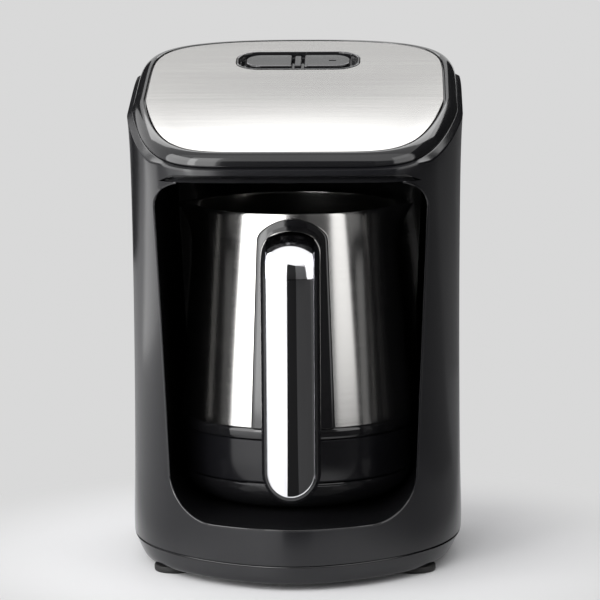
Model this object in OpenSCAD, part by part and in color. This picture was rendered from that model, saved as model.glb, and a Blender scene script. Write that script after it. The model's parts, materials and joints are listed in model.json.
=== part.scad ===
// Electric Turkish coffee maker with a lift-out pot.
// The front faces -Y, +Z is up, and the origin is the centre of the footprint on the table.

/* [Housing] */
// Width of the housing at its widest
body_w = 154.4; // [152:0.2:157]
// Depth of the housing from the nose to the back
body_d = 176; // [174:0.5:180]
// Height of the steel plate's front edge
front_h = 196.2; // [195:0.2:198]
// Slope of the top, in degrees
top_slope = 14.2; // [13.5:0.1:15]
// Wall of the housing shells
wall = 2.4; // [2.2:0.1:2.8]
// Height of the seam above the table
seam_h = 11; // [10:0.5:12]
// Place of the step between front shell and rear cover
step_y = 51; // [46:1:54]

/* [Niche] */
// Half width of the opening near its top
niche_top = 61.4; // [60:0.2:62.4]
// Half width of the opening near its floor
niche_foot = 56.4; // [55.6:0.2:57]
// Height of the niche floor
floor_h = 27.6; // [27:0.2:28.4]
// Height of the niche ceiling
ceiling_h = 183.3; // [182.6:0.1:184]

/* [Pot] */
// Outer radius of the pot at its mouth
mouth_r = 47; // [45:0.5:48.5]
// Outer radius of the pot at its foot
foot_r = 54; // [53:0.2:54.6]
// Height of the pot's rim above the table
rim_h = 165.6; // [164:0.2:167]
// Height where the steel meets the collar
steel_h = 68; // [67:0.2:69]
// Height of the pot's underside
pot_h = 42.4; // [42:0.2:43]
// Thickness of the steel
steel_t = 1.2; // [1:0.1:1.6]

/* [Handle] */
// Width of the handle
grip_w = 26.6; // [25:0.2:28]
// Width of the chrome insert
chrome_w = 21.6; // [20:0.2:22]
// Height of the handle's lower end
grip_low = 39.5; // [38.5:0.5:42]
// Height of the handle's top
grip_top = 160.6; // [159.5:0.5:162]

/* [Hidden] */

black_satin = [0.13, 0.13, 0.14];
black_gloss = [0.05, 0.05, 0.055];
steel = [0.75, 0.75, 0.74];
chrome = [0.86, 0.87, 0.89];
brass = [0.78, 0.63, 0.3];
board_green = [0.1, 0.35, 0.2];

fine = 96;            // facets of the round forms seen from close by
side_n = 72;          // points round one ring of the housing
gap = 0.2;            // clearance between parts that slide together
big = 400;            // longer than the whole machine

// ---- Plan outline of the housing ----
// The widest line lies behind the middle, and the front is a nose below and
// a straight edge with round corners above.
wide_y = 7;                          // the widest line
nose_reach = body_d / 2 + wide_y;    // from the widest line to the nose
back_reach = body_d / 2 - wide_y;    // from the widest line to the back
lap = 2.6;                           // the rear cover lies this much further in
// Powers of the outline, front then rear, and the rounding where the halves meet
nose_pow = [1.2, 0.9, 0.5, 0.5, 0];  // at the seam
brow_pow = [0.335, 1.15, 0.5, 0.5, 0]; // what the walls tend to going up
top_pow = [0.293, 2.04, 0.807, 0.287, 5]; // the top's own outline

function mix(a, b, u) = a + (b - a) * u;

// One point of an outline at the angle t: a is the half width, f and r the
// reaches to front and rear, p the powers and the rounding at the widest line
function outline_pt(t, a, f, r, p, yc) =
    let (c = cos(t), s = sin(t), b = p[4],
         v = (sqrt(f * f + b * b) - b) * pow(max(0, -s), p[1]))
    s < 0 ? [a * sign(c) * pow(abs(c), p[0]), yc - sqrt(v * v + 2 * b * v)]
          : [a * sign(c) * pow(abs(c), p[2]), yc + r * pow(s, p[3])];

function outline(a, f, r, p, yc = wide_y) =
    [for (i = [0 : side_n - 1]) outline_pt(360 * i / side_n, a, f, r, p, yc)];

// ---- The sloping top ----
plate_y = -77.5;                     // where the top's own frame starts
plate_a = 69.1;                      // half width of the steel plate
plate_yc = 74.4;                     // its widest line up the slope
plate_f = 73.2;                      // its reach to the front
plate_r = 85.9;                      // its reach to the rear
rim_w = 6.3;                         // width of the gloss rim round the plate
rim_drop = 5.2;                      // lower edge of the rim, below the plate's face
shoulder_w = 2.4;                    // bevel of the front shell outside the rim
plate_t = 1.2;                       // thickness of the steel plate

// Height of the plane that lies d below the plate's face, at y
function plane_z(y, d) = front_h - d / cos(top_slope) + (y - plate_y) * tan(top_slope);

// The frame of the sloping top: y runs up the slope, z stands off the plate
module on_top() translate([0, plate_y, front_h]) rotate([top_slope, 0, 0]) children();

// Outline of the plate in the sloping frame, grown by g
function top_outline(g) =
    outline(plate_a + g, plate_f + g, plate_r + g, top_pow, plate_yc);

// ---- Solids from rings ----
// A closed shell whose section is the loop of rings, each a list of points
module ring_loop(rings) {
    k = len(rings);
    n = len(rings[0]);
    polyhedron(
        points = [for (r = rings) each r],
        faces = [for (j = [0 : k - 1], i = [0 : n - 1])
            let (a = j * n + i, b = ((j + 1) % k) * n + i,
                 c = ((j + 1) % k) * n + (i + 1) % n, d = j * n + (i + 1) % n)
            each [[a, b, c], [a, c, d]]],
        convexity = 8);
}

// A solid stack of rings, capped at both ends
module ring_stack(rings) {
    k = len(rings);
    n = len(rings[0]);
    polyhedron(
        points = [for (r = rings) each r],
        faces = concat(
            [[for (i = [0 : n - 1]) i]],
            [for (j = [0 : k - 2], i = [0 : n - 1])
                let (a = j * n + i, b = (j + 1) * n + i,
                     c = (j + 1) * n + (i + 1) % n, d = j * n + (i + 1) % n)
                each [[a, b, c], [a, c, d]]],
            [[for (i = [n - 1 : -1 : 0]) (k - 1) * n + i]]),
        convexity = 6);
}

// Rings of the top: each pair holds the growth and the height off the plate
function top_rings(pairs) =
    [for (g = pairs) [for (p = top_outline(g[0])) [p[0], p[1], g[1]]]];

// ---- Housing walls ----
waist = 0.7;                         // the sides draw in this much half way up
hem = 0.5;                            // the sides draw in at the seam
hem_low = 5.5;                        // and by this much at the underside
hem_pow = 12;                        // a high power keeps that to the sides
nose_edge = 0.7;                     // the shell stands back from the base at the nose
brow_reach = 91.3;                   // reaches that the walls tend to going up
crown_reach = 80.4;
flare_pow = 12;                      // near their top they take the outline of the top
flare_a = 0.7;                       // growth of the half width there
flare_y = -10.5;                     // shift of the widest line
flare_f = -11.15;                    // and changes of the reaches
flare_r = 10.7;
groove_drop = rim_drop + 0.3;        // upper edge of the shell's bevel
shoulder_drop = 7.6;                 // and its lower edge, below the plate's face
fade_y = [-64, -76];                 // the bevel lies down towards the front
fade_rise = 1.9;
function faded(y) = max(0, min(1, (y - fade_y[0]) / (fade_y[1] - fade_y[0])));

// The housing's outline at the share u of its height, drawn in by inset; rise
// is how much its front stands higher
function tucked(q, a, tuck) = q[0] - sign(q[0]) * tuck * pow(abs(q[0]) / a, hem_pow);
function wall_ring(u, inset, drop, rise = 0) =
    let (tuck = hem * pow(max(0, 1 - u / 0.08), 2),
         w = pow(u, flare_pow),
         a = body_w / 2 + flare_a * w - waist * sin(180 * u) - inset,
         f = mix(nose_reach - nose_edge, brow_reach, u) + flare_f * w - inset,
         r = mix(back_reach + lap, crown_reach, u) + flare_r * w - inset,
         p = mix(mix(nose_pow, brow_pow, u), top_pow, w))
    [for (q = outline(a, f, r, p, wide_y + flare_y * w))
        [tucked(q, a, tuck), q[1],
            mix(seam_h, plane_z(q[1], drop - rise * faded(q[1])), u)]];

wall_steps = [0, 0.02, 0.045, 0.08, 0.2, 0.35, 0.5, 0.65, 0.8, 0.88, 0.94, 0.975];
top_wall = 1.8;                      // width of the front shell's upper edge

// A shell between two surfaces; brim holds the inset and depth of each ring of
// its upper edge
module housing_wall(inset, brim, rise = 0)
    ring_loop(concat(
        [for (u = concat(wall_steps, [1])) wall_ring(u, inset, shoulder_drop, rise)],
        [for (b = brim) wall_ring(1, b[0], b[1])],
        [for (i = [len(wall_steps) - 1 : -1 : 0])
            wall_ring(wall_steps[i], inset + wall, shoulder_drop)]));

// The room inside the front shell's walls, drawn in by inset, up to the depth
// d below the plate's face
module housing_core(inset, d) intersection() {
    ring_stack([for (u = concat(wall_steps, [1])) wall_ring(u, inset, shoulder_drop)]);
    on_top() translate([-big / 2, -big / 2, -big - d]) cube(big);
}

// The side view of the front shell: it ends at the step, with a round corner
module shell_side_view() {
    corner_r = 7;
    cy = step_y - corner_r;
    cz = plane_z(step_y, groove_drop) - corner_r * (1 + tan(top_slope)) + 0.6;
    rotate([90, 0, 90]) linear_extrude(big, center = true) hull() {
        translate([cy, cz]) circle(corner_r, $fn = 48);
        translate([cy - big / 2 * cos(top_slope), cz - big / 2 * sin(top_slope)])
            circle(corner_r, $fn = 48);
        translate([-big / 2, -big / 2]) square([big / 2 + step_y, 1]);
    }
}

// ---- The niche ----
top_corner_r = 9.5;
foot_corner_r = 21;
// Front view of the niche, grown by g
module niche_view(g = 0) {
    hull() for (side = [-1, 1]) {
        translate([side * (niche_top - top_corner_r), ceiling_h - top_corner_r])
            circle(top_corner_r + g, $fn = 48);
        translate([side * (niche_foot - foot_corner_r), floor_h + foot_corner_r])
            circle(foot_corner_r + g, $fn = 64);
    }
}
module along_y(y0, y1) translate([0, y1, 0]) rotate([90, 0, 0]) linear_extrude(y1 - y0) children();
niche_back = 61;                     // front face of the niche's back wall
liner_t = 2;
hood_rise = 3.4;                     // the opening's top edge is bevelled by this much
hood_w = 118;                        // width of that bevel
hood_fade = 7;                       // and of its fading ends

// ---- Sockets, boards and screws ----
socket_h = 51.5;                     // height of the blades
socket_pitch = 10;
blade = [1.2, 6.4];                  // thickness and width of a blade
plug_z = 44.8;                       // underside of the pot's plug
plug_tall = 12.5;
foot_x = 55;
foot_front_y = -43;
foot_rear_y = 62;
foot_rear_x = 50;
foot_radius = 9.8;
gland_h = 22;
gland_bore_r = 3.5;
gland_l = 8;
button_w = 21.7;
button_d = 17;
button_x = 13.9;                     // middle of each button
panel_y = 129.7;                     // middle of the bezel up the slope
bezel_w = 59.2;
bezel_d = 26.8;
bezel_r = 11;
board_drop = 15;                     // the control board's upper face below the plate
switch_t = 4.4;
plunger_r = 1.7;

module rounded(w, d, r) {
    square([w - 2 * r, d], center = true);
    square([w, d - 2 * r], center = true);
    for (x = [-1, 1], y = [-1, 1])
        translate([x * (w / 2 - r), y * (d / 2 - r)]) circle(r, $fn = 48);
}

// ================= Housing =================

// The base's outline at height z, drawn in by inset
function base_ring(z, inset) =
    let (u = (seam_h - z) / (seam_h - base_z), a = body_w / 2 - inset)
    [for (q = outline(a, nose_reach - inset, back_reach - inset - 3 * u, nose_pow))
        [tucked(q, a, mix(hem, hem_low, max(0, u))), q[1], z]];
base_z = 3;                          // underside of the base
floor_t = 2.6;                       // floor of the base

module base_plate() color(black_satin) difference() {
    union() {
        difference() {
            ring_stack([base_ring(base_z, 2.2), base_ring(base_z + 0.6, 0.9), base_ring(5, 0.2),
                base_ring(7, 0), base_ring(9, 0.1), base_ring(seam_h - 0.6, 0.4),
                base_ring(seam_h, 1)]);
            ring_stack([base_ring(base_z + floor_t, wall + 1), base_ring(seam_h, wall + 1),
                base_ring(seam_h + 1, wall + 1)]);
        }
        for (p = foot_places()) translate([p[0], p[1], base_z]) cylinder(r = 6.4, h = 7.6, $fn = 48);
    }
    // air slots
    for (i = [-3 : 3]) translate([i * 9 - 1.5, 12, 0]) cube([3, 34, 10]);
    // feet and their screws
    for (p = foot_places()) translate([p[0], p[1], 0]) {
        cylinder(r = 5 + gap, h = 5.4, $fn = 48);
        cylinder(r = 1.5, h = 9.6, $fn = 32);
    }
}

function foot_places() = [[-foot_x, foot_front_y], [foot_x, foot_front_y],
    [-foot_rear_x, foot_rear_y], [foot_rear_x, foot_rear_y]];

module foot(i) color(black_gloss) translate([foot_places()[i][0], foot_places()[i][1], 0])
    rotate_extrude($fn = fine) polygon([[2.2, 1.2], [4, 1.2], [4.6, 0], [foot_radius - 1, 0],
        [foot_radius, 1], [foot_radius, base_z], [5, base_z], [5, 5.2], [1.5, 5.2], [1.5, 2.6],
        [2.2, 2.6]]);

module front_shell() color(black_satin) difference() {
    intersection() {
        housing_wall(0, [[shoulder_w, groove_drop], [shoulder_w + top_wall, groove_drop],
            [shoulder_w + top_wall, shoulder_drop + 0.1], [wall, shoulder_drop + 0.7]],
            fade_rise);
        shell_side_view();
    }
    along_y(-big / 4, wide_y) niche_view();
    hood_bevel();
}

// The bevel over the opening fades out towards its corners
module hood_bevel() hull() {
    translate([-hood_w / 2 + hood_fade, -nose_reach, ceiling_h - 3])
        cube([hood_w - 2 * hood_fade, nose_reach + hood_y, 3 + hood_rise]);
    translate([-hood_w / 2, plate_y - wall, ceiling_h - 3]) cube([hood_w, wall + 2, 3.05]);
}
hood_y = -83.7;                      // front edge of the bevel

module rear_cover() color(black_satin) difference() {
    union() {
        intersection() {
            housing_wall(lap, [[lap + 0.4, rim_drop + 0.1], [lap + wall, rim_drop + 0.1]]);
            translate([-big / 2, step_y - 8, 0]) cube([big, big, big]);
        }
        for (p = rear_screw_places()) along_y(boss_y + 0.2, p[2]) translate([p[0], p[1]])
            circle(5.6, $fn = 48);
    }
    // room for the upper edge of the front shell
    intersection() {
        on_top() translate([-big / 2, -big / 2, -9]) cube(big);
        translate([-big / 2, step_y + gap - big, 0]) cube(big);
    }
    // air slots low and high on the back
    for (i = [-4 : 4]) translate([i * 8 - 1.5, 70, 44]) cube([3, 30, 22]);
    for (i = [-4 : 4]) translate([i * 8 - 1.5, 60, 196]) cube([3, 40, 14]);
    along_y(60, 100) translate([0, gland_h]) circle(7 + gap, $fn = 48);
    for (p = rear_screw_places()) {
        along_y(60, 100) translate([p[0], p[1]]) circle(1.8, $fn = 32);
        along_y(boss_y + 2.5, 100) translate([p[0], p[1]]) circle(3.9, $fn = 48);
    }
}

// Across, up, and how far back the screw's tube reaches
function rear_screw_places() = [[-40, 36, 85.6], [40, 36, 85.6], [-40, 176, 81.2], [40, 176, 81.2]];
boss_y = 74;
board_y = niche_back + 5;            // front face of the power board
function power_board_places() = [[-30, 80], [30, 80], [-30, 134], [30, 134]];
function control_board_places() = [[-34, -17], [34, -17], [-34, 17], [34, 17]];

module niche_liner() color(black_gloss) difference() {
    union() {
        intersection() {
            along_y(-big / 4, niche_back + 2.5) niche_view(liner_t);
            housing_core(wall + gap, 9.8);
        }
        // a lip that closes the top of the opening behind the front shell
        intersection() {
            translate([-hood_w / 2, -nose_reach, ceiling_h])
                cube([hood_w, nose_reach + plate_y - spigot - gap, 6]);
            housing_core(wall + gap, shoulder_drop + 1);
        }
        for (p = rear_screw_places()) along_y(niche_back + 1, boss_y) translate([p[0], p[1]])
            circle(4, $fn = 32);
        for (p = power_board_places()) along_y(niche_back + 1, board_y) translate([p[0], p[1]])
            circle(3, $fn = 32);
    }
    along_y(-big / 4, niche_back) niche_view();
    hood_bevel();
    along_y(niche_back - 1, niche_back + 5)
        translate([-17, socket_h - 8.5]) square([34, 17]);
    translate([0, 0, ceiling_h - 1]) cylinder(r = 8 + gap, h = 5, $fn = 48);
    for (p = rear_screw_places()) along_y(niche_back + 3, boss_y + 1) translate([p[0], p[1]])
        circle(1.55, $fn = 24);
    for (p = power_board_places()) along_y(niche_back + 1.5, board_y + 1) translate([p[0], p[1]])
        circle(1.35, $fn = 24);
}

// A bowl under the pot, with a raised landing in its middle
module pedestal() {
    bowl_r = 32;
    bowl_h = pot_h - seat_gap - floor_h;
    color(black_gloss) rotate_extrude($fn = fine) difference() {
        polygon(concat([[0, floor_h]],
            [for (a = [0 : 7.5 : 90]) [bowl_r + (foot_r - bowl_r) * sin(a),
                pot_h - seat_gap - bowl_h * cos(a)]],
            [[42, pot_h - seat_gap], [40, pot_h], [0, pot_h]]));
        polygon([[0, floor_h - 1], [bowl_r - 4, floor_h - 1], [bowl_r + 8, floor_h + 6],
            [foot_r - 5, pot_h - 3], [0, pot_h - 3]]);
    }
}
seat_gap = 0.4;                      // shadow line between pedestal and pot

module top_cover() color(black_gloss) on_top() difference() {
    union() {
        difference() {
            ring_stack(top_rings([[spigot, -skirt_low], [spigot, -rim_drop], [rim_w, -rim_drop],
                [6, -3.8], [5.1, -2], [3.7, -0.7], [2.2, 0.1], [0.9, 0.2]]));
            // hollow below the deck
            translate([0, 0, -20]) linear_extrude(20 - deck_low) polygon(top_outline(spigot - wall));
        }
        for (p = control_board_places()) translate([p[0], panel_y + p[1], -board_drop])
            cylinder(r = 3, h = board_drop - deck_low + 0.5, $fn = 32);
    }
    // recess for the plate
    translate([0, 0, -plate_t]) linear_extrude(5) polygon(top_outline(0.35));
    translate([0, panel_y, -20]) linear_extrude(30) rounded(bezel_w + 0.4, bezel_d + 0.4, bezel_r);
    for (p = control_board_places()) translate([p[0], panel_y + p[1], -board_drop - 1])
        cylinder(r = 1.35, h = 9, $fn = 24);
}
spigot = -0.8;                       // the cover's skirt inside the walls
skirt_low = 9.5;                     // lower edge of that skirt
deck_low = 3.6;                      // underside of the deck, below the plate's face

module top_plate() color(steel) on_top() difference() {
    translate([0, 0, -plate_t]) linear_extrude(plate_t) polygon(top_outline(0));
    translate([0, panel_y, -5]) linear_extrude(10) rounded(bezel_w + 0.4, bezel_d + 0.4, bezel_r);
}

// Outline of one button, its outer end rounder than the end at the post
module button_view(side, g = 0) intersection() {
    rounded(bezel_w - 4 + 2 * g, button_d + 2 * g, 7 + g);
    translate([side * (button_x + 10), 0]) square([button_w + 20 + 2 * g, 60], center = true);
}

module button_bezel() color(black_gloss) on_top() translate([0, panel_y, 0]) difference() {
    union() {
        translate([0, 0, -6]) linear_extrude(6.3) rounded(bezel_w, bezel_d, bezel_r);
        // a flange under the deck
        translate([0, 0, -6]) linear_extrude(6 - deck_low)
            rounded(bezel_w + 5, bezel_d + 5, bezel_r + 2.5);
    }
    difference() {
        translate([0, 0, -2.8]) linear_extrude(4) rounded(bezel_w - 2.4, bezel_d - 2.4, bezel_r - 1.2);
        // the post between the buttons
        translate([-1.6, -button_d / 2 + 1, -4]) cube([3.2, button_d - 2, 4]);
    }
    for (side = [-1, 1]) translate([0, 0, -9]) linear_extrude(8) button_view(side, 0.25);
}

module button(side) on_top() translate([0, panel_y, 0]) difference() {
    union() {
        intersection() {
            translate([0, 0, -5]) linear_extrude(5.2) button_view(side);
            // the cap is slightly dished along the slope
            translate([0, 0, 60 - 0.9]) rotate([0, 90, 0]) difference() {
                translate([30, 0, 0]) cube([70, 60, 80], center = true);
                cylinder(r = 60, h = 90, center = true, $fn = 256);
            }
        }
        translate([side * button_x, 0, -9]) cylinder(r = 2.4, h = 5, $fn = 32);
    }
    if (side > 0) translate([lens_x - 1.65, -0.7, -6]) cube([3.3, 1.4, 8]);
}
lens_x = 16.5;

module button_left() color(black_gloss) button(-1);
module button_right() color(black_gloss) button(1);
module indicator_lens() color("white") on_top() translate([lens_x - 1.6, panel_y - 0.65, -5])
    cube([3.2, 1.3, 4.15]);

module control_board() color(board_green) on_top() difference() {
    translate([-38, panel_y - 22, -board_drop - 1.6]) cube([76, 44, 1.6]);
    for (p = control_board_places())
        translate([p[0], panel_y + p[1], -board_drop - 3]) cylinder(r = 1.5, h = 6, $fn = 24);
}

module tact_switch(side) color([0.2, 0.2, 0.2]) on_top()
    translate([side * button_x, panel_y, -board_drop]) difference() {
        translate([-3, -3, 0]) cube([6, 6, switch_t]);
        translate([0, 0, 1]) cylinder(r = plunger_r + 0.1, h = 10, $fn = 32);
    }
module switch_left() tact_switch(-1);
module switch_right() tact_switch(1);

// The plunger touches the button's stem and moves with it
module plunger(side) color(brass) on_top() translate([side * button_x, panel_y, -9 - 3])
    cylinder(r = plunger_r, h = 3, $fn = 32);
module plunger_left() plunger(-1);
module plunger_right() plunger(1);

module buzzer() color([0.1, 0.1, 0.1]) on_top() translate([-25, panel_y - 10.5, -board_drop])
    difference() {
        cylinder(r = 6, h = 5.5, $fn = 48);
        translate([0, 0, 3]) cylinder(r = 1, h = 5, $fn = 24);
    }

module sensor_window() color([0.15, 0.02, 0.03]) translate([0, 0, ceiling_h + 0.2]) {
    cylinder(r = 8, h = liner_t - 0.2, $fn = 48);
    translate([0, 0, liner_t - 0.2]) cylinder(r = 10, h = 1, $fn = 48);
}

module sensor_module() color(board_green) translate([0, 0, ceiling_h + liner_t + 1]) {
    translate([-11, -9, 0]) cube([22, 18, 1.6]);
    translate([0, 0, 1.6]) cylinder(r = 2.5, h = 4, $fn = 32);
}

module power_board() color(board_green) difference() {
    translate([-35, board_y, 74]) cube([70, board_t, 66]);
    for (p = power_board_places()) along_y(board_y - 1, board_y + 3) translate([p[0], p[1]])
        circle(1.5, $fn = 24);
}
board_t = 1.6;
module relay() color([0.1, 0.2, 0.5]) translate([4, board_y + board_t, 86]) cube([20, 9.5, 16]);
module transformer() color([0.85, 0.75, 0.2]) translate([-26, board_y + board_t, 102]) {
    cube([24, 8, 22]);
    translate([5, 0, -3]) cube([14, 10.5, 28]);
}

// The socket's slots hold a pair of leaves for each blade of the pot's plug
module socket_block() color(black_satin) difference() {
    union() {
        translate([-16.8, foot_r + 2.6, socket_h - 8.3]) cube([33.6, 14, 16.6]);
        // a flange behind the niche's back wall
        translate([-19.5, niche_back + 2.5, socket_h - 11]) cube([39, 2.4, 22]);
    }
    for (i = [-1 : 1]) translate([i * socket_pitch - 1.7, foot_r + 5, socket_h - 3.7])
        cube([3.4, 15, 7.4]);
    for (i = [-1 : 1]) translate([i * socket_pitch - blade[0] / 2 - 0.5, foot_r, socket_h - 3.7])
        cube([blade[0] + 1, 15, 7.4]);
}
module socket_contacts() color(brass) for (i = [-1 : 1])
    translate([i * socket_pitch, foot_r + 5.4, socket_h - 3]) difference() {
        translate([-1.5, 0, 0]) cube([3, 16.6, 6]);
        translate([-blade[0] / 2 - 0.25, -1, -1]) cube([blade[0] + 0.5, 11, 8]);
        translate([-2, 12, -1]) cube([1.2, 8, 8]);
        translate([0.8, 12, -1]) cube([1.2, 8, 8]);
    }

module cord_gland() color(black_satin) translate([0, body_d / 2 - 0.4, gland_h]) rotate([90, 0, 0])
    difference() {
        union() {
            cylinder(r = 7, h = gland_l, $fn = 48);
            // the flange inside the rear cover
            translate([0, 0, 2.8]) cylinder(r = 9, h = 3, $fn = 48);
        }
        translate([0, 0, -1]) cylinder(r = gland_bore_r, h = 20, $fn = 48);
    }

module terminal_block() color("white") difference() {
    translate([-15, 52, 5.6]) cube([30, 12, 14]);
    for (i = [-1 : 1]) translate([i * 9, 58, 12]) cylinder(r = 2.4, h = 10, $fn = 24);
}

// A pan head screw standing on its head, with a straight slot
module screw(r, l, head_r, head_h) difference() {
    union() {
        cylinder(r = r, h = l, $fn = 24);
        translate([0, 0, -head_h]) cylinder(r = head_r, h = head_h, $fn = 32);
    }
    translate([-0.4, -head_r - 1, -head_h - 1]) cube([0.8, 2 * head_r + 2, 1.5]);
}
module base_screws() color(steel) for (p = foot_places()) translate([p[0], p[1], 2.6])
    screw(1.4, 6.4, 2.1, 1.3);
module rear_screws() color(steel) for (p = rear_screw_places())
    translate([p[0], boss_y + 2.5, p[1]]) rotate([90, 0, 0]) screw(1.5, 11, 3.4, 2.2);
module board_screws() color(steel) {
    for (p = power_board_places()) translate([p[0], board_y + board_t, p[1]])
        rotate([90, 0, 0]) screw(1.3, 4.8, 2.6, 1.6);
    on_top() for (p = control_board_places())
        translate([p[0], panel_y + p[1], -board_drop - board_t]) screw(1.3, 8, 2.6, 1.6);
}

// ================= Pot =================

cone = (foot_r - mouth_r) / (rim_h - steel_h);
function cone_r(z) = foot_r - (z - steel_h) * cone;
spout_reach = 56;
spout_half = 15;
inner_floor = 63;                    // the steel bottom inside the pot

module spout(side, g) hull() {
    translate([side * (cone_r(rim_h) - 4 - g), 0, rim_h - 22]) cylinder(r = 3, h = 1, $fn = 16);
    for (y = [-1, 1]) translate([side * (cone_r(rim_h) - 7 - g), y * (spout_half - g), rim_h - 1 + g])
        cylinder(r = 1.5, h = 1, $fn = 16);
    translate([side * (spout_reach - 2 - g), 0, rim_h - 1 + g]) cylinder(r = 2, h = 1, $fn = 32);
}

module pot_body() color(steel) difference() {
    union() {
        rotate_extrude($fn = fine) polygon([[0, inner_floor], [cone_r(steel_h) - 1.6, inner_floor],
            [cone_r(steel_h) - 1.6, steel_h - 0.4], [cone_r(steel_h), steel_h],
            [mouth_r, rim_h], [0, rim_h]]);
        for (side = [-1, 1]) spout(side, 0);
    }
    rotate_extrude($fn = fine) polygon([[0, inner_floor + 1.6], [foot_r - 4.4, inner_floor + 1.6],
        [foot_r - 3, inner_floor + 3], [foot_r - steel_t - 0.2, steel_h + 1.5],
        [mouth_r - steel_t, rim_h], [mouth_r - steel_t, rim_h + 2], [0, rim_h + 2]]);
    for (side = [-1, 1]) spout(side, steel_t);
}

cup_top = 62.6;                      // where the base cup meets the collar

module pot_collar() color(black_gloss) rotate_extrude($fn = fine)
    polygon([[foot_r - 1.4, cup_top], [foot_r + 0.4, cup_top], [foot_r + 0.6, 64], [foot_r + 0.4, 67.2],
        [foot_r - 0.2, 67.6], [foot_r - 1.4, 67.6]]);

module pot_base_cup() color(black_satin) difference() {
    rotate_extrude($fn = fine) polygon([[foot_r - 3, pot_h + 2.4], [foot_r - 3, 61],
        [foot_r - 1.6, cup_top], [foot_r, cup_top], [foot_r, pot_h + 0.7], [foot_r - 0.7, pot_h],
        [foot_r - 1, pot_h], [foot_r - 1, pot_h + 2.4]]);
    translate([-15.2, 20, plug_z - 0.1]) cube([30.4, 50, plug_tall + 0.3]);
}

module pot_base_cover() color(black_satin) translate([0, 0, pot_h])
    cylinder(r = foot_r - 1.2, h = 2.4, $fn = fine);

module heat_spreader() color([0.8, 0.8, 0.82]) translate([0, 0, inner_floor - 3])
    cylinder(r = 40, h = 3, $fn = fine);

module heating_element() color([0.45, 0.42, 0.4]) translate([0, 0, inner_floor - 3 - 3.2])
    rotate([0, 0, 115]) rotate_extrude(angle = 310, $fn = fine) translate([30, 0]) circle(3.2, $fn = 32);

module thermostat() color([0.9, 0.88, 0.8]) translate([0, 0, inner_floor - 3 - 8])
    cylinder(r = 9, h = 8, $fn = 48);

module pot_plug() color(black_gloss) difference() {
    translate([-15, 34, plug_z]) cube([30, foot_r - 2.8 - 34, plug_tall]);
    for (i = [-1 : 1]) translate([i * socket_pitch - blade[0] / 2, foot_r - 9.6, socket_h - blade[1] / 2])
        cube([blade[0], 20, blade[1]]);
}
module plug_blades() color(brass) for (i = [-1 : 1])
    translate([i * socket_pitch - blade[0] / 2, foot_r - 9.6, socket_h - blade[1] / 2])
        cube([blade[0], 22, blade[1]]);

// ---- Handle ----
grip_d = 11;                         // depth of the grip
grip_y = -body_d / 2;                // its front face
bend_r = 20;                         // outer radius of the bend into the arm
bend_y = grip_y + bend_r;
bend_z = grip_top - bend_r;
crown_r = 20;                        // radius across the handle's face
chrome_t = 1.3;
strip_t = 3.4;
strip_low = 68.4;

// The frame of the bend: x runs forward, y up and z across the handle
module on_bend() translate([0, bend_y, bend_z]) rotate([90, 0, -90]) children();

// Sweeps a section down the grip and round the bend
module grip_sweep(turn) on_bend() {
    rotate_extrude(angle = turn, $fn = fine) children();
    rotate([90, 0, 0]) linear_extrude(bend_z) children();
}
// Sweeps it from the bend back along the arm
module arm_sweep(l) on_bend()
    translate([-l, 0, 0]) rotate([0, 0, 90]) rotate([90, 0, 0]) linear_extrude(l) children();
// Section of the grip: crowned in front, with round shoulders that run into
// the crown; cy and cx are the middle of a shoulder
module grip_section() {
    crown = crown_r - grip_reveal;
    cy = grip_w / 2 - shoulder_r;
    cx = bend_r - crown_r + sqrt(pow(crown - shoulder_r, 2) - cy * cy);
    turn = atan2(cy, cx - bend_r + crown_r);
    half = concat([for (i = [0 : 6]) let (a = turn * i / 6)
            [bend_r - crown_r + crown * cos(a), crown * sin(a)]],
        [for (i = [1 : 6]) let (a = mix(turn, 90, i / 6))
            [cx + shoulder_r * cos(a), cy + shoulder_r * sin(a)]],
        [[bend_r - grip_d, grip_w / 2]]);
    polygon(concat(half, [for (i = [len(half) - 1 : -1 : 1]) [half[i][0], -half[i][1]]]));
}
grip_reveal = 0.4;                   // the shell's crown lies this far under the chrome's
shoulder_r = 4.6;

// What the lower end's round leaves off; it is a little wider than the bar
module end_cut(w, low) along_y(grip_y - 1, -40) translate([0, low + w / 2 + 0.3]) difference() {
    translate([-w, -low - w]) square([2 * w, low + w]);
    circle(w / 2 + 0.3, $fn = fine);
}
module strip_cone(grow) cylinder(r1 = cone_r(0) + grow, r2 = cone_r(200) + grow, h = 200, $fn = fine);

module chrome_section(t) intersection() {
    translate([bend_r - 8, -chrome_w / 2]) square([8, chrome_w]);
    translate([bend_r - crown_r, 0]) difference() {
        circle(crown_r, $fn = 192);
        circle(crown_r - t, $fn = 192);
    }
}
module chrome_bar() difference() {
    grip_sweep(chrome_turn) chrome_section(chrome_t);
    end_cut(chrome_w, chrome_low);
}
chrome_turn = 80;                    // the chrome ends just short of the arm
chrome_low = 42.7;                   // lower end of the chrome insert

module handle_shell() color(black_gloss) difference() {
    union() {
        grip_sweep(90) grip_section();
        arm_sweep(30) grip_section();
    }
    end_cut(grip_w, grip_low);
    chrome_bar();
    strip_cone(strip_t + 0.1);
    bracket(0.2);
    translate([0, screw_y, arm_low - 1]) cylinder(r = 1.8, h = 7, $fn = 32);
}
// The steel tongue on the pot that carries the handle
module bracket(g) translate([-6 - g, screw_y - 6 - g, arm_low + 3 - g]) cube([12 + 2 * g, 30, 2 + 2 * g]);
module handle_bracket() color(steel) difference() {
    bracket(0);
    strip_cone(0);
    translate([0, screw_y, arm_low]) cylinder(r = 1.65, h = 9, $fn = 32);
}
arm_low = grip_top - grip_d;         // underside of the arm
module handle_chrome() color(chrome) chrome_bar();

screw_y = -61;
module handle_screw() color(steel) translate([0, screw_y, arm_low]) screw(1.6, 5.4, 3.4, 1.6);

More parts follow.
